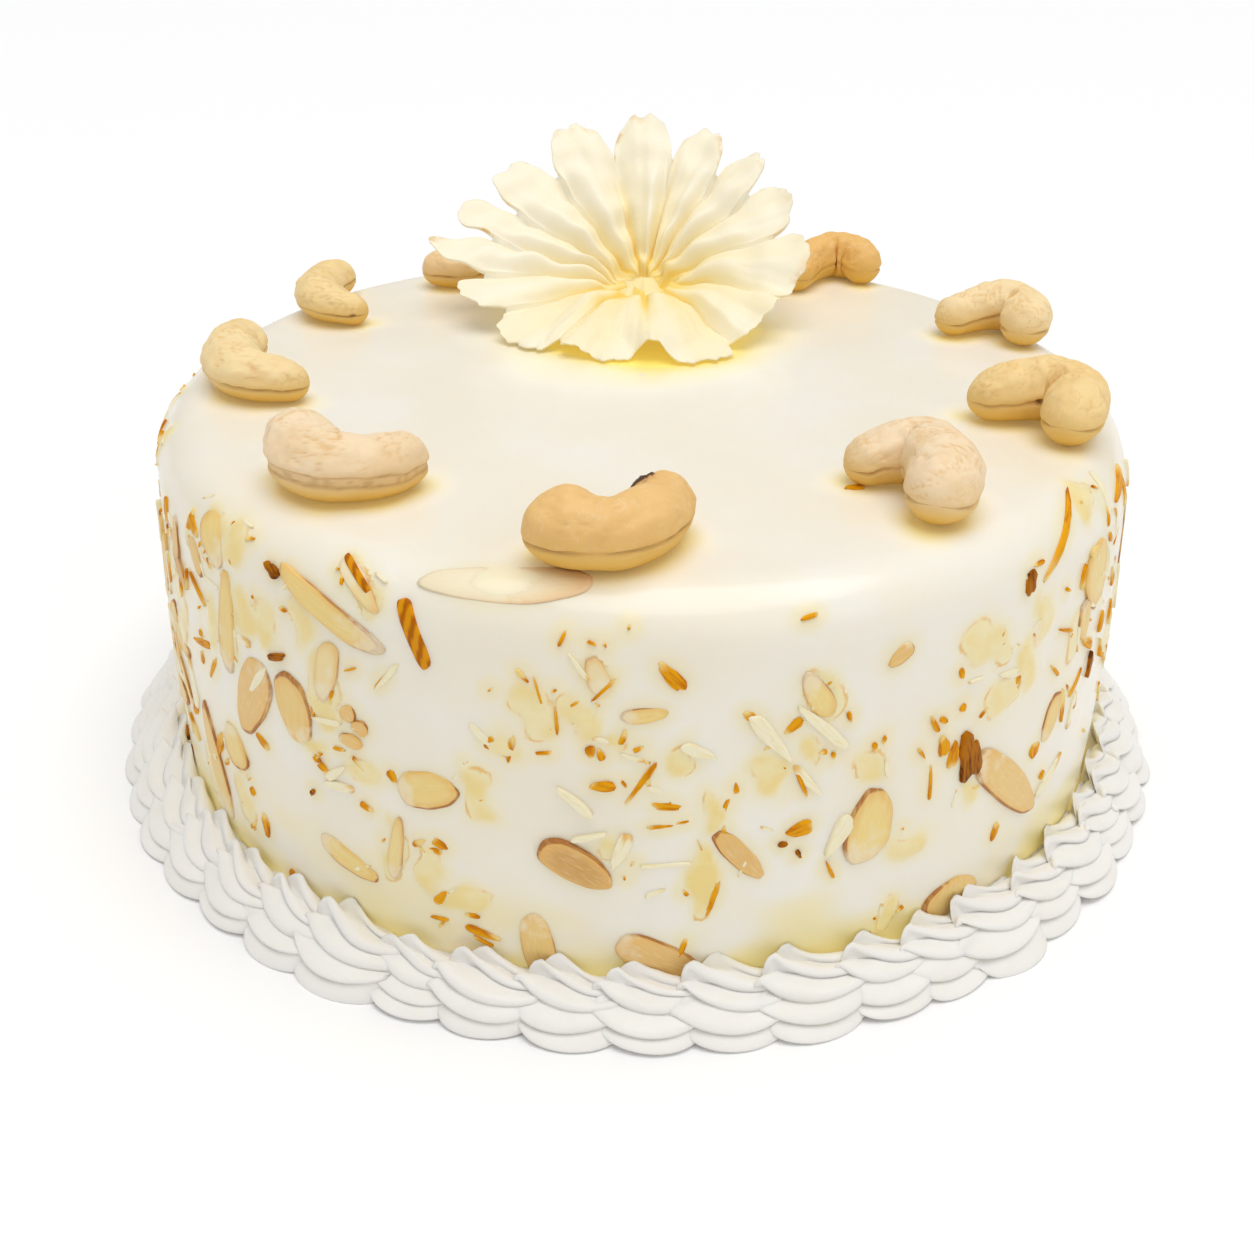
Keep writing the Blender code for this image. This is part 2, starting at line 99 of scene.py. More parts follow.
# Half width of each cashew's seam as a share of its half height
SEAM_WIDTHS = (0.05, 0.2, 0.06, 0.05, 0.05, 0.05, 0.07, 0.08, 0.07, 0.07)

# How peach rather than yellow each cashew is, and how browned
NUT_PEACH = (0.6, 1.0, 0.35, 0.2, 0.8, 0.5, 0.1, 0.5, 0.15, 1.0)
NUT_BROWN = (0.75, 0.0, 0.0, 0.1, 0.3, 0.2, 0.9, 0.0, 0.2, 0.0)

# Flower: azimuth, reach, tip height and ruffle of each petal
FLOWER_CENTRE = np.array([0.0, 48.0, TOP_HEIGHT + TOP_CROWN + 0.3])
PETALS = (
    (18, 43.5, 1.9, 1.0), (47, 39, 5.0, 0.9), (75, 39.5, 15.5, 0.5), (100, 34.5, 25.5, 0.3),
    (122, 31.5, 31.5, 0.2), (146, 29.5, 35.2, 0.15), (180, 28, 38.2, 0.1), (217, 31, 36.4, 0.1),
    (246, 38, 27.6, 0.1), (262, 45, 19.6, 0.1), (274, 50, 16.0, 0.1), (290, 46, 6.8, 0.4),
    (316, 43, 1.9, 0.9), (345, 42, 1.9, 1.0),
)

# Piped shells: number, azimuth of the first and how far out their middle is
SHELLS = 48
SHELL_PHASE = 1.2
SHELL_MIDDLE_OUT = 8.2
SHELL_SIDE_WIDENING = 1.9

# How far each leaf bulges for its breadth, from the bottom leaf up, where the
# head closes and how far it domes, and how much one shell differs from another
SHELL_BULGES = (0.24, 0.25, 0.26, 0.3, 0.3)
SHELL_POLE = np.array([-5.4, 4.4, 4.6])
SHELL_DOME = 3.3
SHELL_SHIFTS = (0.45, 0.25, 0.25)

# Lower edges of a shell's leaves, from the bottom leaf to the top one: four
# points each, from the free tip to the tail, as (along, out, up). The plain
# curves behind and below them follow in the same way
SHELL_LEAVES = (
    ((-8.0, 9.6, 1.9), (-3.6, 12.2, 0.5), (3.0, 12.2, 0.4), (8.6, 9.2, 0.5)),
    ((-10.2, 7.8, 5.3), (-4.2, 10.3, 3.2), (2.5, 10.6, 3.0), (9.4, 7.8, 3.8)),
    ((-9.5, 5.0, 8.5), (-3.6, 7.8, 6.0), (3.0, 8.4, 5.4), (10.2, 6.2, 5.4)),
    ((-7.0, 2.6, 10.5), (-1.8, 4.8, 8.0), (3.6, 6.0, 7.1), (10.3, 4.6, 6.8)),
    ((-3.2, 1.0, 11.0), (1.0, 2.2, 9.0), (5.2, 3.2, 8.0), (10.3, 2.9, 7.5)),
)
SHELL_BACK = (
    ((1.0, 0.2, 7.4), (3.0, 0.2, 7.2), (6.0, 0.2, 7.0), (10.2, 0.6, 6.8)),
    ((-4.0, 0.2, 0.0), (0.0, 0.2, 0.0), (5.0, 0.4, 0.0), (10.2, 1.5, 0.6)),
    ((-5.0, 5.5, 0.0), (-1.0, 6.0, 0.0), (4.0, 6.0, 0.0), (10.0, 6.5, 1.0)),
)

# Almond pieces read from the photograph: two ends and the width, in pixels.
# Slices have a tint too, from pale yellow at 0 to tan at 1. Those below 0
# lie in the glaze
SLICES = (
    (275, 567, 375, 655, 22, 0.15), (263, 665, 243, 730, 28, 0.6), (285, 672, 303, 745, 27, 0.35),
    (203, 700, 232, 818, 16, 0.3), (400, 790, 457, 790, 38, 0.15), (620, 717, 669, 712, 15, 0.2),
    (875, 787, 862, 863, 40, -0.05), (1096, 546, 1097, 606, 27, 0.1),
    (980, 757, 1037, 812, 36, 0.45),
    (322, 838, 377, 880, 20, 0.05), (533, 915, 545, 985, 30, 0.4), (540, 845, 612, 885, 33, 1.0),
    (715, 832, 763, 878, 22, 0.75), (620, 940, 700, 985, 42, 0.65), (950, 880, 948, 915, 44, 0.35),
    (421, 582, 593, 583, 40, -0.7), (889, 666, 913, 643, 13, 0.7), (1058, 690, 1042, 742, 16, 0.25),
    (207, 510, 217, 568, 18, 0.0), (226, 572, 230, 672, 15, 0.15), (192, 535, 203, 578, 11, 0.5),
    (176, 515, 178, 560, 10, 0.6), (177, 598, 175, 630, 14, 0.0), (330, 645, 322, 700, 22, -0.3),
    (230, 722, 242, 770, 20, 0.1), (345, 705, 353, 722, 13, 0.6), (352, 724, 368, 731, 14, 0.7),
    (340, 735, 362, 745, 12, 0.5), (400, 818, 394, 878, 14, -0.2), (806, 674, 830, 714, 26, -0.1),
    (343, 556, 374, 612, 20, -0.3), (590, 657, 604, 695, 22, -0.4), (1085, 600, 1082, 640, 12, 0.3),
)
# Slices drowned in the glaze, raw slivers, toasted bars, toasted bits and
# burnt bits
VEILS = (
    (343, 552, 375, 612, 24), (228, 567, 232, 672, 18), (325, 648, 322, 722, 24),
    (232, 725, 243, 773, 18), (205, 507, 222, 562, 24), (525, 676, 543, 745, 26),
    (468, 765, 488, 827, 26), (590, 655, 605, 697, 28), (806, 672, 830, 716, 32),
    (763, 750, 777, 800, 16), (682, 745, 682, 778, 22), (860, 752, 878, 781, 20),
    (398, 817, 393, 882, 16), (700, 840, 705, 920, 22), (882, 850, 930, 838, 22),
    (893, 893, 880, 932, 18), (425, 850, 430, 895, 18), (440, 905, 490, 895, 18),
    (190, 530, 205, 578, 9), (175, 520, 171, 580, 8), (172, 600, 168, 630, 16),
    (318, 745, 322, 760, 14), (500, 735, 512, 760, 16), (606, 738, 627, 745, 10),
    (560, 700, 595, 735, 24), (805, 765, 822, 740, 16), (713, 790, 705, 832, 14),
    (960, 640, 1015, 650, 40), (1003, 680, 1002, 715, 22), (362, 760, 375, 785, 20),
    (965, 785, 978, 795, 12), (605, 860, 612, 840, 8), (315, 720, 345, 722, 14),
    (177, 545, 178, 600, 12), (186, 600, 184, 650, 12), (212, 590, 215, 650, 14),
    (245, 590, 250, 640, 18), (240, 770, 250, 820, 16), (180, 650, 184, 700, 12),
    (212, 740, 216, 790, 12), (232, 520, 238, 560, 14), (262, 600, 268, 650, 16),
    (1085, 480, 1082, 520, 14), (1105, 540, 1100, 590, 12), (1075, 620, 1070, 660, 14),
    (1050, 590, 1040, 640, 18), (1030, 640, 1022, 690, 16), (300, 600, 304, 650, 16),
)
SLIVERS = (
    (797, 705, 848, 748, 12), (752, 715, 790, 760, 16), (850, 815, 825, 855, 14),
    (556, 787, 592, 815, 8), (266, 668, 253, 691, 6), (315, 716, 342, 724, 5),
    (572, 840, 605, 834, 5), (645, 895, 665, 888, 4), (640, 865, 690, 862, 4),
    (680, 745, 717, 757, 10), (376, 690, 398, 664, 6),
)
BARS = ((401, 600, 426, 668, 14), (346, 555, 369, 592, 8))
TOASTS = (
    (167, 496, 168, 520, 8), (170, 556, 172, 582, 8), (658, 663, 685, 688, 14),
    (590, 785, 615, 787, 10), (656, 763, 625, 803, 6), (682, 806, 652, 804, 8),
    (785, 834, 813, 823, 12), (257, 732, 270, 749, 6), (191, 515, 199, 537, 7),
    (193, 637, 214, 647, 6), (203, 650, 205, 663, 4), (200, 698, 195, 716, 5),
    (222, 730, 219, 762, 5), (252, 787, 255, 796, 4), (266, 815, 269, 836, 5),
    (190, 570, 206, 605, 3), (312, 695, 316, 716, 3), (375, 688, 388, 672, 3),
    (514, 735, 508, 762, 6), (484, 746, 497, 740, 12), (592, 700, 614, 680, 4),
    (571, 705, 579, 700, 3), (589, 745, 592, 757, 9), (598, 748, 603, 760, 6),
    (622, 780, 627, 787, 3), (566, 630, 559, 646, 4), (587, 641, 597, 645, 3),
    (464, 760, 473, 773, 3), (534, 676, 548, 722, 3), (555, 705, 558, 735, 3),
    (799, 620, 818, 614, 5), (744, 711, 763, 726, 9), (785, 733, 801, 718, 9),
    (735, 782, 737, 793, 5), (797, 773, 807, 796, 5), (660, 800, 672, 801, 5),
    (646, 827, 674, 824, 3), (728, 798, 719, 820, 4), (1033, 566, 1043, 561, 4),
    (1075, 488, 1055, 574, 6), (1120, 462, 1116, 506, 6), (1103, 610, 1098, 631, 7),
    (1081, 637, 1092, 650, 5), (1080, 668, 1068, 696, 5), (1058, 630, 1073, 630, 3),
    (1018, 668, 1015, 690, 5), (961, 668, 961, 678, 4), (964, 703, 961, 711, 4),
    (945, 717, 941, 723, 6), (931, 717, 938, 731, 5), (1110, 533, 1108, 541, 8),
    (389, 769, 397, 783, 6), (433, 838, 449, 848, 7), (430, 846, 443, 853, 5),
    (447, 890, 437, 903, 9), (431, 915, 450, 920, 3), (466, 926, 500, 939, 7),
    (475, 935, 495, 946, 3), (456, 950, 480, 957, 6), (685, 938, 679, 957, 6),
    (722, 965, 743, 975, 8), (699, 843, 713, 875, 4), (718, 880, 706, 916, 6),
    (955, 740, 950, 768, 8), (942, 735, 944, 755, 10), (930, 765, 928, 797, 3),
    (918, 748, 924, 758, 3), (1034, 743, 1032, 757, 8), (1042, 770, 1039, 779, 3),
    (996, 823, 990, 840, 5), (826, 861, 833, 878, 3), (869, 930, 878, 950, 4),
    (291, 868, 299, 886, 6), (845, 490, 864, 488, 8), (1050, 665, 1058, 675, 3),
    (1097, 652, 1105, 658, 3), (1104, 640, 1105, 655, 4), (201, 631, 205, 636, 5),
    (218, 656, 211, 680, 3), (345, 670, 356, 668, 2), (314, 755, 320, 762, 3),
)
BURNTS = (
    (967, 735, 970, 777, 20), (1030, 572, 1030, 594, 9), (269, 655, 286, 657, 6),
    (1091, 652, 1085, 676, 6), (778, 843, 786, 844, 5), (797, 850, 799, 856, 5),
    (268, 562, 277, 577, 8), (181, 727, 190, 738, 7), (192, 745, 195, 764, 8),
    (312, 790, 315, 793, 4),
)


def unit(v):
    """Vectors divided by their length along the last axis."""
    return v / np.maximum(np.linalg.norm(v, axis=-1, keepdims=True), 1e-9)


def smooth(low, high, x):
    """Smooth step: 0 below low, 1 above high, 3s^2 - 2s^3 in between."""
    s = np.clip((x - low) / (high - low), 0.0, 1.0)
    return s * s * (3.0 - 2.0 * s)


def fall(low, high, x):
    """Smooth fall: 1 below low, 0 above high."""
    return 1.0 - smooth(low, high, x)


def ripple(points, size, seed, waves=16):
    """Seeded soft noise of about unit strength.

    It is a sum of cosine waves in random directions, whose wavelengths lie
    round the given size.
    """
    draw = np.random.default_rng(seed)
    ways = unit(draw.normal(size=(waves, 3)))
    counts = 2 * math.pi / (size * draw.uniform(0.6, 1.6, waves))
    phases = draw.uniform(0, 2 * math.pi, waves)
    total = np.cos(points @ (ways * counts[:, None]).T + phases)
    return total.sum(axis=-1) * math.sqrt(2.0 / waves)


# Camera


def camera_axes():
    """Right, up and forward of the camera: pitched down, turned and rolled."""
    forward = np.array([math.sin(CAMERA_YAW) * math.cos(CAMERA_DOWN),
                        math.cos(CAMERA_YAW) * math.cos(CAMERA_DOWN),
                        -math.sin(CAMERA_DOWN)])
    level = unit(np.cross(forward, [0, 0, 1]))
    upright = np.cross(level, forward)
    right = level * math.cos(CAMERA_ROLL) + upright * math.sin(CAMERA_ROLL)
    up = upright * math.cos(CAMERA_ROLL) - level * math.sin(CAMERA_ROLL)
    return right, up, forward


RIGHT, UP, FORWARD = camera_axes()


def make_camera():
    """The photograph's camera."""
    data = bpy.data.cameras.new("camera")
    data.sensor_width = 36.0
    data.lens = LENS_PIXELS / PICTURE * 36.0
    camera = bpy.data.objects.new("camera", data)
    bpy.context.scene.collection.objects.link(camera)
    turn = Matrix((RIGHT, UP, -FORWARD)).transposed().to_4x4()
    camera.matrix_world = Matrix.Translation(Vector(CAMERA * MM)) @ turn
    bpy.context.scene.camera = camera


# The skin of the cake


def wall_radius(height):
    """Radius of the side: a taper with a soft bulge at mid height."""
    share = np.clip(height / WALL_HEIGHT, 0.0, 1.0)
    return BASE_RADIUS - WALL_TAPER * share + WALL_BULGE * np.sin(math.pi * share)


def skin(azimuth, path, lift=0.0):
    """Points on the skin, lifted along its outward normal.

    Up to the wall's height the path is the height. Over the rim it is an
    arc of the fillet, and beyond it runs straight in to the centre.
    """
    azimuth, path, lift = np.broadcast_arrays(azimuth, path, lift)
    slope = np.clip((path - WALL_HEIGHT) / RIM_FILLET, 0.0, math.pi / 2)
    inward = np.maximum(path - WALL_HEIGHT - RIM_ARC, 0.0)
    side = wall_radius(path)
    rim = RIM_TOP_RADIUS + RIM_FILLET * np.cos(slope) - inward
    radius = np.where(path <= WALL_HEIGHT, side, rim) + lift * np.cos(slope)
    crown = TOP_CROWN * np.clip(1.0 - rim / RIM_TOP_RADIUS, 0.0, 1.0)
    height = np.minimum(path, WALL_HEIGHT) + RIM_FILLET * np.sin(slope) + crown
    height = height + lift * np.sin(slope)
    return np.stack([radius * np.sin(azimuth), -radius * np.cos(azimuth), height], -1)


def skin_under(px, py):
    """Azimuth and path where the camera's rays through pixels meet the skin.

    Each ray is sampled in quarter millimetre steps, and the first sample
    inside the skin is taken, or the nearest one where a ray passes by.
    """
    px, py = np.asarray(px, float), np.asarray(py, float)
    way = unit(FORWARD + (px[:, None] - PICTURE / 2) / LENS_PIXELS * RIGHT
               - (py[:, None] - PICTURE / 2) / LENS_PIXELS * UP)
    steps = np.arange(RAY_NEAR, RAY_FAR, RAY_STEP)
    points = CAMERA + steps[None, :, None] * way[:, None, :]
    radius = np.hypot(points[..., 0], points[..., 1])
    height = points[..., 2]
    over = np.maximum(height - WALL_HEIGHT, 0.0)
    out = np.maximum(radius - RIM_TOP_RADIUS, 0.0)
    gap = np.where(height <= WALL_HEIGHT, radius - wall_radius(height),
                   np.where(out > 0, np.hypot(out, over) - RIM_FILLET, height - TOP_HEIGHT))
    hit = gap < 0
    first = np.where(hit.any(1), hit.argmax(1), np.abs(gap).argmin(1))
    rows = np.arange(len(px))
    spot, radius, height = points[rows, first], radius[rows, first], height[rows, first]
    azimuth = np.arctan2(spot[:, 0], -spot[:, 1])
    slope = np.arctan2(height - WALL_HEIGHT, np.maximum(radius - RIM_TOP_RADIUS, 1e-6))
    rim = WALL_HEIGHT + RIM_FILLET * np.clip(slope, 0, math.pi / 2)
    rim = rim + np.maximum(RIM_TOP_RADIUS - radius, 0.0)
    return azimuth, np.where(height <= WALL_HEIGHT, height, rim)


def placed(rows):
    """Placements on the skin of almond pieces read from the photograph.

    Each row gives azimuth, path, length, width, turn and tint. The width is
    the read one in millimetres at that distance from the camera.
    """
    rows = np.array([(*row, 0.0)[:6] for row in rows], float)
    start = np.stack(skin_under(rows[:, 0], rows[:, 1]), -1)
    end = np.stack(skin_under(rows[:, 2], rows[:, 3]), -1)
    middle = np.stack(skin_under(rows[:, [0, 2]].mean(1), rows[:, [1, 3]].mean(1)), -1)
    spot = skin(middle[:, 0], middle[:, 1])
    radius = np.hypot(spot[:, 0], spot[:, 1])
    along = (end[:, 0] - start[:, 0]) * radius
    up = end[:, 1] - start[:, 1]
    read = np.hypot(rows[:, 2] - rows[:, 0], rows[:, 3] - rows[:, 1])
    scale = ((spot - CAMERA) @ FORWARD) / LENS_PIXELS
    level = np.abs(rows[:, 2] - rows[:, 0]) / read
    length = np.clip(np.hypot(along, up), read * scale, read * scale * (1.25 + level))
    tilt = 0.5 * rows[:, 4] / read
    over = tilt * (rows[:, 3] - rows[:, 1])
    down = tilt * (rows[:, 2] - rows[:, 0])
    x, y = rows[:, [0, 2]].mean(1), rows[:, [1, 3]].mean(1)
    one = np.stack(skin_under(x - over, y + down), -1)
    two = np.stack(skin_under(x + over, y - down), -1)
    across = np.hypot((two[:, 0] - one[:, 0]) * radius, two[:, 1] - one[:, 1])
    width = np.clip(across, rows[:, 4] * scale, rows[:, 4] * scale * (2.2 - level))
    turn = np.arctan2(up, along)
    return np.stack([middle[:, 0], middle[:, 1], length, width, turn, rows[:, 5]], -1)


def scattered(count, seed, lengths, slimness, paths, azimuths=(66, 297)):
    """Seeded placements, mostly round the side that the photo hides."""
    draw = np.random.default_rng(seed)
    spread = (np.arange(count) + draw.uniform(0.1, 0.9, count)) / count
    azimuth = np.radians(azimuths[0] + spread * (azimuths[1] - azimuths[0]))
    path = draw.uniform(paths[0], paths[1], count)
    length = draw.uniform(lengths[0], lengths[1], count)
    width = length * draw.uniform(slimness[0], slimness[1], count)
    turn = np.radians(draw.normal(-80, 32, count))
    return np.stack([azimuth, path, length, width, turn, draw.uniform(0, 1, count)], -1)


def crumbs_by(rows, each, seed, lengths=(0.8, 3.2), slimness=(0.2, 0.45)):
    """Seeded thin crumbs or shards close to given pieces, a few for each."""
    draw = np.random.default_rng(seed)
    rows = np.repeat(rows, each, 0)
    count = len(rows)
    azimuth = rows[:, 0] + draw.normal(0, 3.6, count) / BASE_RADIUS
    path = np.clip(rows[:, 1] + draw.normal(0, 4.0, count), 13, 80)
    length = lengths[0] + (lengths[1] - lengths[0]) * draw.uniform(0, 1, count) ** 2
    width = np.maximum(length * draw.uniform(slimness[0], slimness[1], count), 0.35)
    turn = draw.uniform(0, math.pi, count)
    return np.stack([azimuth, path, length, width, turn, draw.uniform(0.1, 1.1, count)], -1)


def grid_faces(rows, columns, closed=True):
    """Quads of a grid of points, closed round its columns or open."""
    last = columns if closed else columns - 1
    i, j = np.meshgrid(np.arange(rows - 1), np.arange(last), indexing="ij")
    k = (j + 1) % columns
    quads = np.stack([i * columns + j, i * columns + k, (i + 1) * columns + k,
                      (i + 1) * columns + j], -1)
    return quads.reshape(-1, 4)


def many(faces, copies, step):
    """The same faces for several copies of a piece's points."""
    return (faces[None] + (np.arange(copies) * step)[:, None, None]).reshape(-1, faces.shape[1])


def make_piece(name, points, faces, look, nodes=(), values=None):
    """Make a smooth mesh piece in metres that rides on the cake.

    Values are named numbers or vectors, one for each point. Faces may be a
    list of face arrays, quads and triangles apart.
    """
    points = np.asarray(points, float).reshape(-1, 3) * MM
    groups = faces if isinstance(faces, list) else [faces]
    corners = np.concatenate([g.ravel() for g in groups])
    sizes = np.concatenate([np.full(len(g), g.shape[1]) for g in groups])
    mesh = bpy.data.meshes.new(name)
    mesh.vertices.add(len(points))
    mesh.vertices.foreach_set("co", points.astype(np.float32).ravel())
    mesh.loops.add(len(corners))
    mesh.loops.foreach_set("vertex_index", corners.astype(np.int32))
    mesh.polygons.add(len(sizes))
    mesh.polygons.foreach_set("loop_start", (np.cumsum(sizes) - sizes).astype(np.int32))
    mesh.update(calc_edges=True)
    mesh.validate()
    mesh.shade_smooth()
    for key, data in (values or {}).items():
        data = np.asarray(data, np.float32)
        kind, field = ("FLOAT", "value") if data.size == len(points) else ("FLOAT_VECTOR", "vector")
        mesh.attributes.new(key, kind, "POINT").data.foreach_set(field, data.ravel())
    mesh.materials.append(look)
    piece = bpy.data.objects.new(name, mesh)
    bpy.context.scene.collection.objects.link(piece)
    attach(piece, "root")
    if nodes:
        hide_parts(*nodes)
    return piece


# Materials


class Value:
    """A shader number whose sums and products are written as expressions."""

    def __init__(self, look, socket):
        self.look = look
        self.socket = socket

    def math(self, kind, *others):
        """One Math node on this value and the others."""
        made = self.look.tree.nodes.new("ShaderNodeMath")
        made.operation = kind
        for place, item in zip(made.inputs, (self, *others)):
            self.look.join(place, item)
        return Value(self.look, made.outputs[0])

    def __add__(self, other):
        return self.math("ADD", other)

    def __mul__(self, other):
        return self.math("MULTIPLY", other)

    def __sub__(self, other):
        return self.math("SUBTRACT", other)

    def __rsub__(self, other):
        return (self * -1.0) + other

    def step(self, low, high):
        """Smooth step between two values."""
        made = self.look.node("ShaderNodeMapRange", {"interpolation_type": "SMOOTHSTEP"},
                              {"Value": self, "From Min": low, "From Max": high})
        return Value(self.look, made.outputs["Result"])

    def clamp(self):
        """Kept between 0 and 1."""
        return self.math("MAXIMUM", 0.0).math("MINIMUM", 1.0)


class Look:
    """A Principled material built from nodes."""

    def __init__(self, name, **constants):
        self.material = bpy.data.materials.new(name)
        self.material.use_nodes = True
        self.tree = self.material.node_tree
        self.shader = self.tree.nodes["Principled BSDF"]
        self.place = self.node("ShaderNodeTexCoord").outputs["Object"]
        self.shader.inputs["Subsurface Radius"].default_value = (1.0, 0.8, 0.55)
        for key, value in constants.items():
            self.shader.inputs[key.replace("_", " ")].default_value = value

    def join(self, target, item):
        """Feed an input from a value, a socket or a plain number."""
        if isinstance(item, Value):
            item = item.socket
        if isinstance(item, bpy.types.NodeSocket):
            self.tree.links.new(item, target)
        else:
            target.default_value = item

    def node(self, kind, settings=None, inputs=None):
        """Any node from its type, settings and input values or links."""
        made = self.tree.nodes.new(kind)
        for key, value in (settings or {}).items():
            setattr(made, key, value)
        for key, item in (inputs or {}).items():
            self.join(made.inputs[key], item)
        return made

    def noise(self, scale, detail=2.0, where=None, rough=0.5):
        """Noise from 0 to 1 about 0.5."""
        made = self.node("ShaderNodeTexNoise", None, {
            "Vector": where or self.place, "Scale": scale, "Detail": detail,
            "Roughness": rough})
        return Value(self, made.outputs["Fac"])

    def value(self, name):
        """A piece's own named number."""
        made = self.node("ShaderNodeAttribute", {"attribute_name": name})
        return Value(self, made.outputs["Fac"])

    def vector(self, name):
        """A piece's own named vector."""
        return self.node("ShaderNodeAttribute", {"attribute_name": name}).outputs["Vector"]

    def mix(self, first, second, share):
        """Two colours mixed by a share."""
        made = self.node("ShaderNodeMix", {"data_type": "RGBA"})
        for index, item in ((6, first), (7, second)):
            if isinstance(item, tuple):
                item = (*item, 1.0)
            self.join(made.inputs[index], item)
        self.join(made.inputs[0], share)
        return made.outputs[2]

    def feed(self, **inputs):
        """Feed the shader's own inputs."""
        for key, item in inputs.items():
            if isinstance(item, tuple) and len(item) == 3:
                item = (*item, 1.0)
            self.join(self.shader.inputs[key.replace("_", " ")], item)

    def bump(self, height, distance, strength=1.0):
        """Bump from a height, as deep as distance in metres."""
        made = self.node("ShaderNodeBump", None, {
            "Height": height, "Distance": distance, "Strength": strength})
        self.join(self.shader.inputs["Normal"], made.outputs["Normal"])


# Colours that several places share or that tell one kind of piece
IVORY = (0.91, 0.84, 0.69)
SYRUP = (0.93, 0.80, 0.40)
DEEP_SYRUP = (0.95, 0.76, 0.14)
NUT_YELLOW, NUT_CREAM, NUT_TAN = (0.96, 0.74, 0.34), (0.94, 0.74, 0.49), (0.84, 0.48, 0.13)
NUT_SHADE = (0.89, 0.80, 0.62)
AMBER, RUST = (0.84, 0.38, 0.005), (0.58, 0.17, 0.0)
BURNT, BLACKENED = (0.46, 0.15, 0.0), (0.12, 0.026, 0.0)


def glaze_look():
    """Ivory glaze, yellow over drowned slices and where syrup gathers, with
    painted glow round the nuts, under the flower, in thick syrup and at the foot.
    """
    look = Look("ivory_glaze", Subsurface_Weight=0.25, Subsurface_Scale=0.004,
                Coat_Roughness=0.12, IOR=1.45)
    tint = look.value("syrup")
    deep = look.value("deep_syrup_and_painted_light")
    veil = look.value("veil")
    cloud = look.noise(28.0, 3.0)
    streak = look.noise(150.0, 3.0)
    colour = look.mix(IVORY, (0.92, 0.88, 0.78), cloud.step(0.35, 0.7))
    colour = look.mix(colour, SYRUP, (tint * (cloud * 0.9 + 0.5)).clamp())
    covered = look.mix((0.90, 0.70, 0.26), (0.92, 0.80, 0.46), streak.step(0.35, 0.7))
    colour = look.mix(colour, covered, (veil * (cloud + 0.4)).clamp())
    brim = (veil.step(0.1, 0.35) * (1.0 - veil.step(0.4, 0.75))).clamp()
    colour = look.mix(colour, (0.83, 0.46, 0.06), brim * streak.step(0.5, 0.66) * 0.75)
    colour = look.mix(colour, DEEP_SYRUP, deep.clamp())
    # Painted light: a faint glow round the nuts and under the flower lifts the shade they cast on
    # the top.
    painted_light_colour = look.mix((0.0, 0.0, 0.0), (0.10, 0.095, 0.055), look.value("top_painted_light"))
    # Painted light: thick syrup glows warm yellow.
    painted_light_colour = look.mix(painted_light_colour, (0.34, 0.27, 0.02), (deep * 1.6 - 0.88).clamp())
    # Painted light: the foot beside the shells glows warm yellow, lifting the shade there.
    look.feed(Base_Color=colour, Roughness=look.noise(60.0, 2.0) * 0.14 + 0.24,
              Coat_Weight=cloud * 0.2 + 0.15, Emission_Strength=1.0,
              Emission_Color=look.mix(painted_light_colour, (0.21, 0.17, 0.06), look.value("foot_painted_light")))
    look.bump(look.noise(170.0, 2.0) * 0.6 + look.noise(900.0, 1.0) * 0.1, 0.0005, 0.35)
    return look.material


def cream_look():
    """White whipped cream with a soft satin surface."""
    look = Look("whipped_cream", Subsurface_Weight=0.1, Subsurface_Scale=0.001, IOR=1.4)
    tint = look.value("syrup")
    cloud = look.noise(120.0, 2.0)
    colour = look.mix((0.90, 0.88, 0.84), (0.88, 0.85, 0.79), cloud.step(0.4, 0.8))
    colour = look.mix(colour, (0.88, 0.80, 0.54), (tint * 0.4).clamp())
    look.feed(Base_Color=colour, Roughness=cloud * 0.15 + 0.36)
    look.bump(look.noise(700.0, 3.0), 0.0002, 0.3)
    return look.material


def petal_look():
    """Ivory petal cream with painted shade: deep yellow in the creases and
    towards the hub, tan at dry tips, and a faint painted glow.
    """
    look = Look("petal_cream", Subsurface_Weight=0.15, Subsurface_Scale=0.0015, IOR=1.42)
    crease = look.value("crease")
    tip = look.value("tip")
    fine = look.noise(260.0, 3.0)
    colour = look.mix((0.935, 0.865, 0.68), (0.93, 0.835, 0.60), fine.step(0.4, 0.8) * 0.5)
    # Painted shade: the crease value darkens the cream to deep yellow in creases, troughs and
    # towards the hub.
    colour = look.mix(colour, (0.91, 0.76, 0.37), crease.clamp())
    colour = look.mix(colour, (0.89, 0.64, 0.15), crease.step(0.8, 1.35))
    colour = look.mix(colour, (0.74, 0.46, 0.16), (tip * fine.step(0.45, 0.62) * 0.8).clamp())
    # Painted light: a faint glow in the cream's own colour lifts its shade.
    look.feed(Base_Color=colour, Roughness=fine * 0.2 + 0.35, Emission_Strength=0.05,
              Emission_Color=colour)
    look.bump(look.noise(420.0, 3.0), 0.0003, 0.25)
    return look.material


def blend(first, second, share):
    """Two plain colours mixed by a share."""
    return tuple((1 - share) * a + share * b for a, b in zip(first, second))


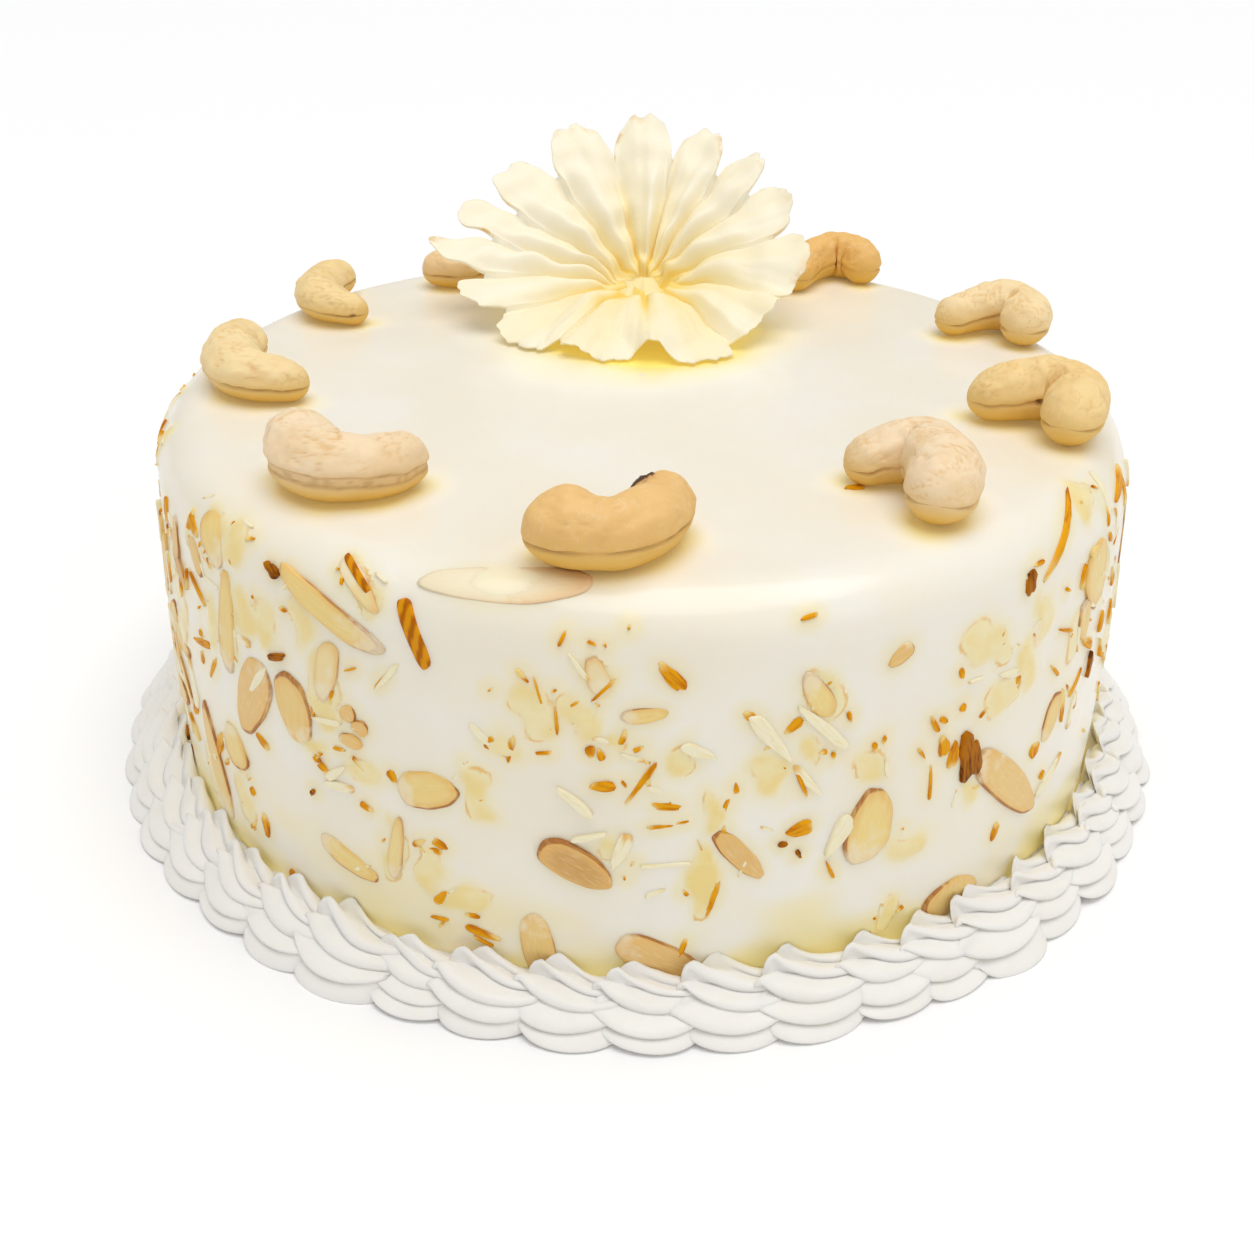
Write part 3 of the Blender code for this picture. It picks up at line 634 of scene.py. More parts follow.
def nut_look(name, seed, peach, brown):
    """Blanched cashew: peach or yellow cream with painted shade below and in
    its cracks, and deeper in its seam.
    """
    look = Look(name, Subsurface_Weight=0.12, Subsurface_Scale=0.0015, IOR=1.45)
    under = look.value("under")
    seam = look.value("seam")
    crack_shade = look.value("crack_shade")
    spot = look.value("spot")
    broad = look.noise(80.0 + seed, 3.0)
    fine = look.noise(600.0, 4.0, rough=0.65)
    top = blend(blend(NUT_YELLOW, NUT_CREAM, peach), NUT_TAN, brown)
    shade = tuple(a * b for a, b in zip(top, NUT_SHADE))
    colour = look.mix(top, shade, broad.step(0.4, 0.8) * 0.7)
    colour = look.mix(colour, (0.95, 0.80, 0.56), fine.step(0.52, 0.8) * 0.35)
    # Painted shade in the wrinkles and cracks.
    colour = look.mix(colour, (0.79, 0.48, 0.18), crack_shade.clamp())
    # Painted shade: darker, more orange towards the bottom.
    colour = look.mix(colour, (0.80, 0.49, 0.09), (under * 0.95).clamp())
    colour = look.mix(colour, (0.52, 0.28, 0.09), (seam * 0.9).clamp())
    colour = look.mix(colour, (0.40, 0.20, 0.06), (spot * 2.2).clamp())
    colour = look.mix(colour, (0.085, 0.032, 0.01), spot.step(0.35, 0.6))
    look.feed(Base_Color=colour, Roughness=fine * 0.25 + 0.42)
    look.bump(fine * 0.5 + look.noise(240.0, 2.0) * 0.8, 0.0005, 0.5)
    return look.material


def slice_look():
    """Almond slice: glaze white to tan, fine streaks, a thin brown skin."""
    look = Look("almond_slice", Subsurface_Weight=0.1, Subsurface_Scale=0.0015, IOR=1.45)
    rim = look.value("rim")
    leaf = look.vector("leaf")
    tint = look.value("tint")
    grain = look.noise(1.0, 3.0, where=leaf)
    broad = look.noise(0.45, 2.0, where=leaf)
    middle = look.mix((0.89, 0.76, 0.52), (0.90, 0.68, 0.24), tint.step(-0.7, 0.0))
    middle = look.mix(middle, (0.84, 0.54, 0.19), tint.step(0.0, 0.7))
    middle = look.mix(middle, (0.64, 0.34, 0.09), tint.step(0.6, 1.1))
    colour = look.mix(middle, (0.95, 0.80, 0.48), grain.step(0.45, 0.8) * 0.4)
    colour = look.mix(colour, (0.86, 0.54, 0.20), rim.step(0.45, 1.0) * 0.45)
    colour = look.mix(colour, (0.84, 0.48, 0.10), (rim.step(0.6, 1.0) * (broad * 2.0 - 0.4)
                                                  * tint.step(-0.9, 0.0)).clamp() * 0.8)
    colour = look.mix(colour, (0.82, 0.50, 0.13), broad.step(0.5, 0.8) * tint.step(-0.4, 0.2) * 0.3)
    skinned = rim.step(0.93, 1.01) * (broad * 3.0 - 0.5) * tint.step(-0.8, 0.1)
    colour = look.mix(colour, (0.40, 0.13, 0.015), skinned.clamp() * 0.9)
    drowned = (look.value("end") + look.noise(300.0, 3.0) * 2.2 - tint * 0.7).step(1.25, 2.0)
    colour = look.mix(colour, (0.91, 0.82, 0.60), drowned * 0.65)
    colour = look.mix(colour, (0.86, 0.58, 0.33), rim.step(0.85, 1.0) * (tint * -1.0).clamp() * 0.9)
    look.feed(Base_Color=colour, Roughness=grain * 0.2 + 0.3)
    look.bump(grain, 0.0002, 0.4)
    return look.material


def sliver_look():
    """Raw almond sliver: cream with faint streaks."""
    look = Look("almond_sliver", Subsurface_Weight=0.1, Subsurface_Scale=0.0015, IOR=1.45)
    grain = look.noise(1.0, 3.0, where=look.vector("leaf"))
    broad = look.noise(0.5, 2.0, where=look.vector("leaf"))
    tint = look.value("tint")
    colour = look.mix((0.94, 0.86, 0.61), (0.91, 0.78, 0.42), grain.step(0.45, 0.75))
    toasted = (look.value("end") + broad * 1.6).step(1.25, 1.8) * (tint * -2.0).clamp()
    colour = look.mix(colour, (0.84, 0.45, 0.06), toasted * 0.85)
    look.feed(Base_Color=colour, Roughness=0.36)
    look.bump(grain, 0.0002, 0.4)
    return look.material


def bar_look():
    """Toasted almond bar: amber with slanting browner stripes."""
    look = Look("almond_bar", IOR=1.4, Specular_IOR_Level=0.15)
    leaf = look.vector("leaf")
    parts = look.node("ShaderNodeSeparateXYZ", None, {"Vector": leaf}).outputs
    slant = Value(look, parts[0]) * 5.0 + Value(look, parts[1]) * 1.2
    stripe = (slant + look.noise(0.5, 2.0, where=leaf) * 4.0).math("SINE") * 0.5 + 0.5
    stripe = stripe * 0.7 + look.noise(1.4, 3.0, where=leaf) * 0.5
    colour = look.mix((0.74, 0.30, 0.003), (0.44, 0.12, 0.0), stripe.step(0.35, 0.95))
    look.feed(Base_Color=colour, Roughness=0.4)
    look.bump(stripe, 0.0003, 0.4)
    return look.material


def toast_look(name, light, dark, pale_from):
    """Toasted almond bits from amber to brown, some of them half pale."""
    look = Look(name, Subsurface_Weight=0.05, Subsurface_Scale=0.001, IOR=1.4,
                Specular_IOR_Level=0.12)
    leaf = look.vector("leaf")
    tint = look.value("tint")
    end = look.value("end")
    grain = look.noise(0.8, 3.0, where=leaf)
    broad = look.noise(0.4, 2.0, where=leaf)
    colour = look.mix(light, dark, (grain * 0.7 + broad * 0.5 - end * 0.1).step(0.5, 0.85))
    pale = (end * 0.8 + broad * 1.2 + tint * 0.9).step(pale_from, pale_from + 0.55)
    colour = look.mix(colour, (0.91, 0.70, 0.28), pale * 0.9)
    look.feed(Base_Color=colour, Roughness=0.42)
    look.bump(grain, 0.0003, 0.4)
    return look.material


# Almond pieces


def flakes(rows, seed, lift, thick, sectors=24, point=0.25, ragged=0.03, blunt=0.9):
    """Thin almond pieces laid on the skin.

    Each outline is an ellipse narrowed towards one end and roughened by a
    few waves round it. Rings of it rise from below the skin, over a rounded
    rim and in across a nearly flat face, and every point is carried to the
    skin by its azimuth, path and lift. Pieces with a tint below 0 lie
    flatter. The rim value is larger towards one seeded side, and the end
    value runs from -1 to 1 along the piece.
    """
    draw = np.random.default_rng(seed)
    count = len(rows)
    azimuth, path, length, width, turn, tint = (rows[:, k][:, None, None] for k in range(6))
    angle = np.linspace(0, 2 * math.pi, sectors, endpoint=False)[None, None, :]
    ring_in = np.array([0.02, 0.9, 1.0, 1.0, 0.94, 0.8, 0.55, 0.25, 0.02])[None, :, None]
    ring_up = np.array([-1.0, -1.0, -0.5, 0.45, 0.85, 0.97, 1.0, 1.0, 1.0])[None, :, None]
    rough = np.zeros((count, 1, sectors))
    for waves in (2, 3, 5, 8):
        phase = draw.uniform(0, 2 * math.pi, (count, 1, 1))
        size = draw.uniform(0.3, 1.0, (count, 1, 1)) * ragged * 2.0 / waves ** 0.5
        rough = rough + size * np.cos(waves * angle + phase)
    reach = ring_in * (1.0 + rough)
    narrowing = 1.0 - point * np.cos(angle) * draw.choice([-1, 1], (count, 1, 1))
    along = 0.5 * length * np.sign(np.cos(angle)) * np.abs(np.cos(angle)) ** blunt * reach
    across = 0.5 * width * np.sign(np.sin(angle)) * np.abs(np.sin(angle)) ** blunt
    across = across * narrowing * reach
    flat = 0.3 + 0.7 * smooth(-0.7, 0.0, tint)
    tilt = draw.uniform(-0.5, 0.5, (count, 1, 1)) * lift * flat
    curl = draw.uniform(-0.3, 1.0, (count, 1, 1)) * lift * 0.5
    base = lift * 0.6 + tilt * 2 * along / length + curl * (2 * along / length) ** 2
    up = base + np.where(ring_up > 0, ring_up * thick * flat, ring_up * 0.5 - base)
    side = along * np.cos(turn) - across * np.sin(turn)
    climb = along * np.sin(turn) + across * np.cos(turn)
    spot = skin(azimuth, path)
    radius = np.maximum(np.hypot(spot[..., 0], spot[..., 1]), 5.0)
    points = skin(azimuth + side / radius, path + climb, up)
    rings = ring_in.shape[1]
    faces = many(grid_faces(rings, sectors), count, rings * sectors)
    whole = ring_in + 0.12 * ring_in * np.cos(angle - draw.uniform(0, 6.3, (count, 1, 1)))
    number = np.arange(count)[:, None, None] * 17.0 + 0 * along
    leaf = np.stack([along * 0.35, across * 2.2, number], -1)
    end = 2 * along / length * draw.choice([-1, 1], (count, 1, 1))
    return points, faces, {"rim": whole, "leaf": leaf, "tint": tint + 0 * along, "end": end}


def cap_faces(points, rings, sectors):
    """Close each copy's first and last rings, which are tiny, with fans."""
    count = points.reshape(-1, 3).shape[0] // (rings * sectors)
    around = np.arange(1, sectors - 1)
    last = (rings - 1) * sectors
    first_cap = np.stack([0 * around, around + 1, around], -1)
    last_cap = np.stack([0 * around + last, around + last, around + 1 + last], -1)
    return many(np.concatenate([first_cap, last_cap]), count, rings * sectors)


SHARD_TINT = -0.5
ALMOND_ROWS = {}


def rows_of(*kinds):
    """Placements of several kinds of almond piece together."""
    return np.concatenate([ALMOND_ROWS[kind] for kind in kinds])


def almonds():
    """All almond pieces, one mesh for each kind.

    Each kind has the pieces read from the photograph, those scattered round
    the hidden side and a few extra ones at the photograph's two edges. The
    veils are slices drowned in the glaze, so the body shows them.
    """
    kinds = (
        ("almond_slices", SLICES, (22, 5, (11, 19), (0.36, 0.55), (20, 66)),
         dict(lift=0.08, thick=0.42, sectors=40, point=0.2), slice_look()),
        ("almond_slivers", SLIVERS, (22, 7, (7, 12), (0.15, 0.3), (16, 70)),
         dict(lift=0.35, thick=0.5, sectors=20, point=0.4, ragged=0.06), sliver_look()),
        ("almond_bars", BARS, (3, 30, (10, 15), (0.2, 0.24), (50, 74)),
         dict(lift=0.15, thick=0.5, sectors=32, point=0.06, ragged=0.02, blunt=0.45), bar_look()),
        ("almond_toasts", TOASTS, (110, 8, (2.2, 7), (0.25, 0.6), (12, 76)),
         dict(lift=0.12, thick=0.36, sectors=16, point=0.35, ragged=0.08, blunt=0.85),
         toast_look("almond_toast", AMBER, RUST, 0.95)),
        ("almond_burnts", BURNTS, (10, 9, (2.5, 6), (0.35, 0.6), (14, 72)),
         dict(lift=0.2, thick=0.5, sectors=16, point=0.2, ragged=0.13, blunt=0.7),
         toast_look("almond_burnt", BURNT, BLACKENED, 2.0)),
    )
    veils = np.concatenate([placed(VEILS), scattered(60, 6, (8, 17), (0.3, 0.55), (14, 76))])
    ALMOND_ROWS["veils"] = veils
    shards = np.concatenate([crumbs_by(veils, 1, 17, (2.5, 9), (0.13, 0.3)),
                             scattered(14, 28, (5, 12), (0.15, 0.3), (20, 78), (-86, -56)),
                             scattered(8, 29, (5, 11), (0.15, 0.3), (24, 78), (50, 70))])
    shards[:, 5] = SHARD_TINT
    extra = {
        "almond_slices": [scattered(16, 25, (9, 17), (0.25, 0.4), (24, 76), (-86, -58))],
        "almond_slivers": [shards],
        "almond_toasts": [crumbs_by(veils, 2, 15),
                          scattered(18, 26, (2.5, 8), (0.2, 0.4), (20, 80), (-86, -54)),
                          scattered(14, 27, (2.5, 8), (0.2, 0.4), (24, 80), (50, 68))],
    }
    for name, read, (count, seed, lengths, slimness, paths), shape, look in kinds:
        rows = np.concatenate([placed(read), scattered(count, seed, lengths, slimness, paths),
                               *extra.get(name, [])])
        ALMOND_ROWS[name] = rows
        points, faces, values = flakes(rows, seed, **shape)
        rings, sectors = points.shape[1:3]
        make_piece(name, points, [faces, cap_faces(points, rings, sectors)], look,
                   values=values)


# Glazed body

GLAZE_COLUMNS = 720


def near_flakes(azimuth, path, rows, soft, inner=0.35):
    """Largest closeness of skin spots to almond pieces.

    Closeness falls from 1 at an inner share of a piece's ellipse, widened
    by a soft distance, to 0 at its edge.
    """
    radius = np.maximum(np.hypot(*np.moveaxis(skin(azimuth, path)[..., :2], -1, 0)), 1.0)
    best = np.zeros(azimuth.shape)
    for place, way, length, width, turn, _ in rows:
        apart = (azimuth - place + math.pi) % (2 * math.pi) - math.pi
        side = apart * radius
        climb = path - way
        along = side * math.cos(turn) + climb * math.sin(turn)
        across = climb * math.cos(turn) - side * math.sin(turn)
        far = np.hypot(along / (0.5 * length + soft), across / (0.5 * width + soft))
        best = np.maximum(best, fall(inner, 1.0, far))
    return best


def nut_line(stations, count=61):
    """Axis of a cashew on the plan, from its stations.

    The straight runs between the stations are smoothed three times by a
    running mean. Samples lie closer together towards the two ends. Each
    gives its share, x, y, half width, half height, heading and the cap that
    closes the nut by round noses. The length comes last.
    """
    stations = np.array(stations)
    fine = np.linspace(0, len(stations) - 1, 241)
    line = np.stack([np.interp(fine, np.arange(len(stations)), c) for c in stations.T], -1)
    for _ in range(3):
        before = 2 * line[:1] - line[20:0:-1]
        after = 2 * line[-1:] - line[-2:-22:-1]
        total = np.cumsum(np.concatenate([before[:1] * 0, before, line, after]), 0)
        line = (total[41:] - total[:-41]) / 41
    run = np.concatenate([[0], np.cumsum(np.hypot(*np.diff(line[:, :2], axis=0).T))])
    e = 0.5 - 0.5 * np.cos(np.linspace(0, math.pi, count))
    px, py, width, high = (np.interp(e * run[-1], run, c) for c in line.T)
    heading = np.unwrap(np.arctan2(np.gradient(py), np.gradient(px)))
    nose = np.clip(e * run[-1] / width[0], 0, 1), np.clip((1 - e) * run[-1] / width[-1], 0, 1)
    cap = np.sqrt(1 - (1 - nose[0]) ** 2) * np.sqrt(1 - (1 - nose[1]) ** 2)
    return e, px, py, width, high, heading, cap, run[-1]


def body():
    """The glazed body: the skin turned round, with the glaze's own swells.

    It is a grid over azimuth and path. The glaze swells softly, mounds over
    the almond pieces that it covers, and carries five named numbers: how
    much a drowned slice shows, and where thin or thick syrup tints it, at
    the foot, round the almonds, round the nuts and under the flower; thick
    syrup also gets painted glow. The other two are painted light: where the
    glaze glows as if the shells threw light back on it, and as if nuts and
    petals threw theirs back on the top.
    """
    columns = GLAZE_COLUMNS
    whole = WALL_HEIGHT + RIM_ARC + RIM_TOP_RADIUS
    path = np.concatenate([[0.0], np.arange(1.0, 87.0, 0.95), np.arange(87.5, 120.0, 1.7),
                           np.linspace(121.0, whole - 1.2, 21)])
    azimuth = np.linspace(0, 2 * math.pi, columns, endpoint=False)
    azimuth, path = np.meshgrid(azimuth, path)
    flat = skin(azimuth, path)
    bent = azimuth + 0.8 * ripple(flat, 9.0, 31) / BASE_RADIUS
    bent_path = path + 0.7 * ripple(flat, 7.0, 32)
    veils = near_flakes(bent, bent_path, ALMOND_ROWS["veils"], 0.9, 0.6)
    solid = near_flakes(azimuth, path,
                        rows_of("almond_slices", "almond_slivers", "almond_bars"), 1.8)
    bits = near_flakes(azimuth, path, rows_of("almond_toasts", "almond_burnts"), 1.6)
    on_side = fall(72.0, 84.0, path)
    lift = 0.1 * ripple(flat, 34.0, 3) + 0.05 * ripple(flat, 13.0, 4) * on_side
    free = 1.0 - near_flakes(azimuth, path, ALMOND_ROWS["almond_slices"], 0.6, 0.8)
    lift = lift * smooth(0.0, 6.0, path) + free * (0.36 * veils + 0.15 * bits) + 0.24 * solid
    points = skin(azimuth, path, lift - 0.1)
    syrup = 0.5 * near_flakes(bent, bent_path, ALMOND_ROWS["veils"], 4.0)
    syrup = np.maximum(syrup, 0.5 * near_flakes(
        azimuth, path, rows_of("almond_toasts", "almond_burnts", "almond_slices"), 3.2))
    foot = 19.0 + 5.0 * ripple(flat, 40.0, 8) + 3.0 * ripple(flat, 14.0, 9)
    foot = np.maximum(foot, 4.0)
    syrup = np.maximum(syrup, 0.72 * fall(0.3, 1.25, path / foot))
    top = smooth(80.0, 92.0, path)
    # Painted light: where the top glows round the nuts and under the flower.
    top_painted_light = 0.0 * path
    # The deep syrup value: deep yellow of thick syrup, and painted glow in the glaze where it is
    # thickest.
    deep = 0.3 * fall(0.3, 1.0, path / foot)
    for stations in CASHEWS:
        _, px, py, width, _, _, cap, _ = nut_line(stations)
        gap = np.hypot(flat[..., 0][..., None] - px, flat[..., 1][..., None] - py)
        gap = (gap - width * cap).min(-1) + 0.8 * ripple(flat, 16.0, 21)
        syrup = np.maximum(syrup, top * 0.6 * fall(-4.0, 3.6, gap))
        top_painted_light = np.maximum(top_painted_light, fall(-3.0, 6.0, gap))
        deep = np.maximum(deep, top * 0.62 * fall(-4.0, 0.6, gap))
    away = np.hypot(1.2 * flat[..., 0] + 1.0, flat[..., 1] - 38.0) + 1.5 * ripple(flat, 20.0, 22)
    away = away + 0.5 * np.maximum(flat[..., 1] - 42.0, 0.0)
    syrup = np.maximum(syrup, top * 0.8 * fall(33.0, 48.0, away))
    top_painted_light = np.maximum(top_painted_light, fall(36.0, 54.0, away))
    deep = np.maximum(deep, top * 0.85 * fall(31.5, 39.5, away))
    # Painted light: glow at the foot beside the shells.
    foot_painted_light = fall(2.0, 15.0, path)
    top_painted_light = top_painted_light * top
    centre = np.array([[0.0, 0.0, TOP_HEIGHT + TOP_CROWN]])
    last = path.size
    ring = np.arange(columns)
    fan = np.stack([last - columns + ring, last - columns + (ring + 1) % columns,
                    np.full(columns, last)], -1)
    under = np.stack([(ring + 1) % columns, ring, np.full(columns, last + 1)], -1)
    points = np.concatenate([points.reshape(-1, 3), centre, [[0.0, 0.0, 0.0]]])
    fields = {"syrup": syrup, "veil": veils, "foot_painted_light": foot_painted_light, "top_painted_light": top_painted_light, "deep_syrup_and_painted_light": deep}
    make_piece("glazed_body", points, [grid_faces(*path.shape), fan, under], glaze_look(),
               ["cake"],
               {key: np.append(field, (0.0, 0.0)) for key, field in fields.items()})


# Piped border


def curve(points, t):
    """Smooth curve through four points at even shares, for many shares."""
    p0, p1, p2, p3 = (points[..., k, :][..., None, :] for k in range(4))
    s = t[:, None]
    a = -4.5 * (s - 1 / 3) * (s - 2 / 3) * (s - 1)
    b = 13.5 * s * (s - 2 / 3) * (s - 1)
    c = -13.5 * s * (s - 1 / 3) * (s - 1)
    d = 4.5 * s * (s - 1 / 3) * (s - 2 / 3)
    return a * p0 + b * p1 + c * p2 + d * p3


def border():
    """All piped shells.

    Each shell is a stack of five leaves. The crisp lower edge of a leaf is a
    curve from its free tip at the head, down over the belly and up to the
    tail under the next shell. From that edge the leaf's face bulges up and
    in to a valley under the edge of the leaf above. The valleys lie deep
    between the tips and grow shallow to the tail. Three more plain curves
    close the section on the cake's and the floor's side. Rows before the
    tips shrink to a pole inside the head.
    """
    draw = np.random.default_rng(12)
    crests = np.array(SHELL_LEAVES)
    plain = np.array(SHELL_BACK)
    every = np.concatenate([crests, plain])
    every = every[None] + draw.normal(0, 1, (SHELLS, len(every), 1, 3)) * SHELL_SHIFTS
    every = every + draw.normal(0, 0.16, (SHELLS, len(crests) + len(plain), 4, 3))
    middle = np.array([2.0, 5.5, 2.5])
    every = middle + (every - middle) * (1.0 + 0.05 * draw.normal(0, 0.6, (SHELLS, 1, 1, 1)))
    t = np.linspace(0, 1, 19) ** 1.15
    edge = curve(every, t)
    core = np.stack([-4.6 + 14.6 * t, 4.8 + 1.0 * t, 3.4 - 0.7 * t], -1)
    lean = (0.14 + 0.27 * fall(0.0, 0.36, t))[:, None]
    sections = []
    for k in range(len(crests)):
        start, next_edge = edge[:, k], edge[:, k + 1]
        valley = next_edge + (core - next_edge) * lean + 0.16 * (next_edge - start)
        chord = valley - start
        outward = unit(0.5 * (start + next_edge) - core)
        high = SHELL_BULGES[k] * np.linalg.norm(chord, axis=-1, keepdims=True)
        for u in (0.0, 0.07, 0.2, 0.38, 0.58, 0.8, 1.0):
            bow = high * math.sin(math.pi * u ** 0.62) * (1 - 0.25 * u)
            sections.append(start + chord * u + outward * bow)
        for w in (0.45, 0.86):
            hollow = -0.12 * math.sin(math.pi * w) * outward
            sections.append(valley + (next_edge - valley) * w + hollow)
    back = len(crests)
    for k in range(len(plain)):
        first = edge[:, back + k]
        last = edge[:, (back + k + 1) % len(every[0])]
        sections.extend([first, 0.5 * (first + last)])
    section = np.stack(sections, 2)
    head = [SHELL_POLE + (section[:, :1] - SHELL_POLE) * s
            - (SHELL_DOME * (1 - s * s) ** 0.5, 0, 0)
            for s in (0.02, 0.3, 0.58, 0.8, 0.94)]
    tail = section[:, -1:].mean(2, keepdims=True)
    end = [tail + (section[:, -1:] - tail) * s for s in (0.5, 0.02)]
    local = np.concatenate([*head, section, *end], 1)
    number = np.arange(SHELLS)[:, None, None]
    azimuth = math.radians(SHELL_PHASE + 0.25) + 2 * math.pi * number / SHELLS
    azimuth = azimuth + np.radians(draw.normal(0, 0.35, (SHELLS, 1, 1)))
    azimuth = azimuth + local[..., 0] / (BASE_RADIUS + SHELL_MIDDLE_OUT)
    height = np.maximum(local[..., 2], 0.0)
    widening = SHELL_SIDE_WIDENING * np.abs(np.sin(azimuth)) * smooth(0.0, 6.0, local[..., 1])
    radius = BASE_RADIUS + local[..., 1] + widening
    radius = np.maximum(radius, wall_radius(height) + 0.2)
    points = np.stack([radius * np.sin(azimuth), -radius * np.cos(azimuth), height], -1)
    rows, columns = local.shape[1:3]
    faces = many(grid_faces(rows, columns), SHELLS, rows * columns)
    stain = fall(0.3, 3.5, radius - wall_radius(height))
    stain = stain * smooth(-0.2, 1.0, ripple(points, 26.0, 5))
    make_piece("piped_shells", points, faces, cream_look(),
               ["shell_border"], {"syrup": stain})


# Cashews

NUT_CRACKS = 9


def cashew(number, stations, look):
    """One cashew: an oval section carried along its bent axis.

    Where the axis bends tighter than the nut is wide, the inner side draws
    in to a crease. The face is dented by soft noise, pinched into folds at
    the inner bend and crossed by fine wrinkles and a few cracks. A groove
    runs all round it below the middle of its height, where its halves meet.
    """
    rows, sides = 96, 112
    draw = np.random.default_rng(100 + number)
    e, px, py, width, high, heading, cap, length = nut_line(stations, rows)
    bend = heading[-1] - heading[0]
    angle = np.linspace(0, 2 * math.pi, sides, endpoint=False)
    inward = np.cos(angle) * math.copysign(1.0, bend)
    curl = np.abs(np.gradient(heading, e * length + 1e-6))
    tight = np.minimum(1.0, 0.8 / np.maximum(curl * width * cap, 1e-6))
    wide = (width * cap)[:, None] * np.cos(angle)
    wide = wide * (1 - (1 - tight)[:, None] * smooth(0.0, 0.7, inward))
    tall = (high * cap)[:, None] * np.sin(angle)
    x = px[:, None] - np.sin(heading)[:, None] * wide
    y = py[:, None] + np.cos(heading)[:, None] * wide
    z = NUT_FLOOR + high[:, None] + tall
    points = np.stack([x, y, z], -1)
    centre = np.stack([px, py, NUT_FLOOR + high], -1)[:, None, :]
    outward = unit(points - centre)
    inner = smooth(-0.1, 0.95, inward)[None, :]
    upper = smooth(-0.1, 0.5, np.sin(angle))[None, :]
    middle = (4 * e * (1 - e))[:, None] ** 2
    folds = np.cos(e * length * 2.4 + 0.6 * np.sin(7 * e + number))[:, None]
    dent = 0.2 * ripple(points, 11.0, 40 + number) * (0.4 + 0.6 * upper)
    dent = dent + 0.1 * ripple(points, 3.6, 60 + number) * (0.3 + 0.7 * upper)
    patch = smooth(-0.6, 0.6, ripple(points, 9.0, 80 + number))
    dent = dent + 0.16 * inner * middle * folds * patch * upper
    wrinkle = 1 - np.abs(ripple(points * (1.0, 1.0, 1.6), 2.6, 70 + number, 24))
    wrinkle = np.clip(wrinkle, 0, 1) ** 3 * (0.2 + 0.8 * patch) * (0.3 + 0.7 * upper)
    # Painted shade in the wrinkles and cracks, beside the dents that cut them.
    crack_shade = 0.75 * wrinkle
    dent = dent - 0.22 * wrinkle
    for _ in range(NUT_CRACKS):
        place, spread = draw.uniform(0.12, 0.88), draw.uniform(0.3, 1.0)
        turn = draw.uniform(0.4, 2.7)
        slant = draw.uniform(-3.0, 3.0)
        across = (e[:, None] - place) * length - slant * (np.cos(angle) - math.cos(turn))[None, :]
        wander = 0.45 * ripple(points, 3.0, int(draw.integers(900)))
        window = np.exp(-((np.cos(angle) - math.cos(turn)) / spread * 1.6) ** 2)[None, :] * upper
        line = np.exp(-((across + wander) / 0.22) ** 2) * window
        dent = dent - draw.uniform(0.1, 0.22) * line
        crack_shade = np.maximum(crack_shade, draw.uniform(0.4, 0.9) * line)
    if number == 2:
        line = np.exp(-(((e[:, None] - 0.56) * length + 0.3 * ripple(points, 3.0, 5)) / 0.25) ** 2)
        line = line * upper * smooth(-0.9, -0.2, inward)[None, :]
        dent = dent - 0.3 * line
        crack_shade = np.maximum(crack_shade, line)
    seam_width = SEAM_WIDTHS[number - 1]
    sway = 0.05 * np.sin(5 * e + number)[:, None] + 0.02 * ripple(points, 5.0, 90 + number)
    level = np.sin(angle)[None, :] + 0.16 + sway
    groove = np.exp(-(np.abs(level) / seam_width) ** 3)
    open_part = smooth(-1.1, 0.2, ripple(points, 16.0, 30 + number) + 0.4)
    lip = np.exp(-((np.abs(level) - seam_width - 0.12) / 0.12) ** 2)
    dent = dent + 0.12 * lip - (0.22 + 0.38 * open_part) * groove
    line = np.exp(-(level / (0.5 * seam_width)) ** 2) * (0.3 + 0.7 * open_part)
    if seam_width > 0.1:
        line = np.exp(-((np.abs(level) - 0.75 * seam_width) / 0.04) ** 2) * 0.7
        line = line + groove * (0.12 + 0.4 * smooth(0.5, 1.2, ripple(points, 2.0, 8)))
    spot = np.zeros(points.shape[:2])
    lump = np.zeros(points.shape[:2])
    for owner, place, turn, long, broad in NUT_SPOTS:
        if owner == number:
            turned = (angle - math.radians(turn) + math.pi) % (2 * math.pi) - math.pi
            along = (e[:, None] - place) * length / long
            apart = np.hypot(along, (turned[None, :] * width[:, None]) / broad)
            near = fall(0.55, 1.15, apart + 0.22 * ripple(points, 1.8, 7))
            spot = np.maximum(spot, near)
            lump = lump + near * (0.7 if long > 2.0 else -0.3)
    dent = (dent + lump) * smooth(0.0, 0.06, np.minimum(e, 1 - e))[:, None]
    points = points + outward * dent[..., None]
    points[..., 2] = np.maximum(points[..., 2], NUT_FLOOR - 0.1)
    # The under value is painted shade, darker towards the bottom of the nut.
    under = fall(NUT_FLOOR + 1.0, NUT_FLOOR + 1.4 * high.max(), points[..., 2])
    dark = 1.0 if number == 1 else 0.45
    faces = grid_faces(rows, sides)
    make_piece("roasted_cashew_%d" % number, points, faces[:, ::-1], look,
               ["cashew_%d" % number], {"under": under, "seam": line, "crack_shade": crack_shade,
                                        "spot": spot * dark})


# Flower


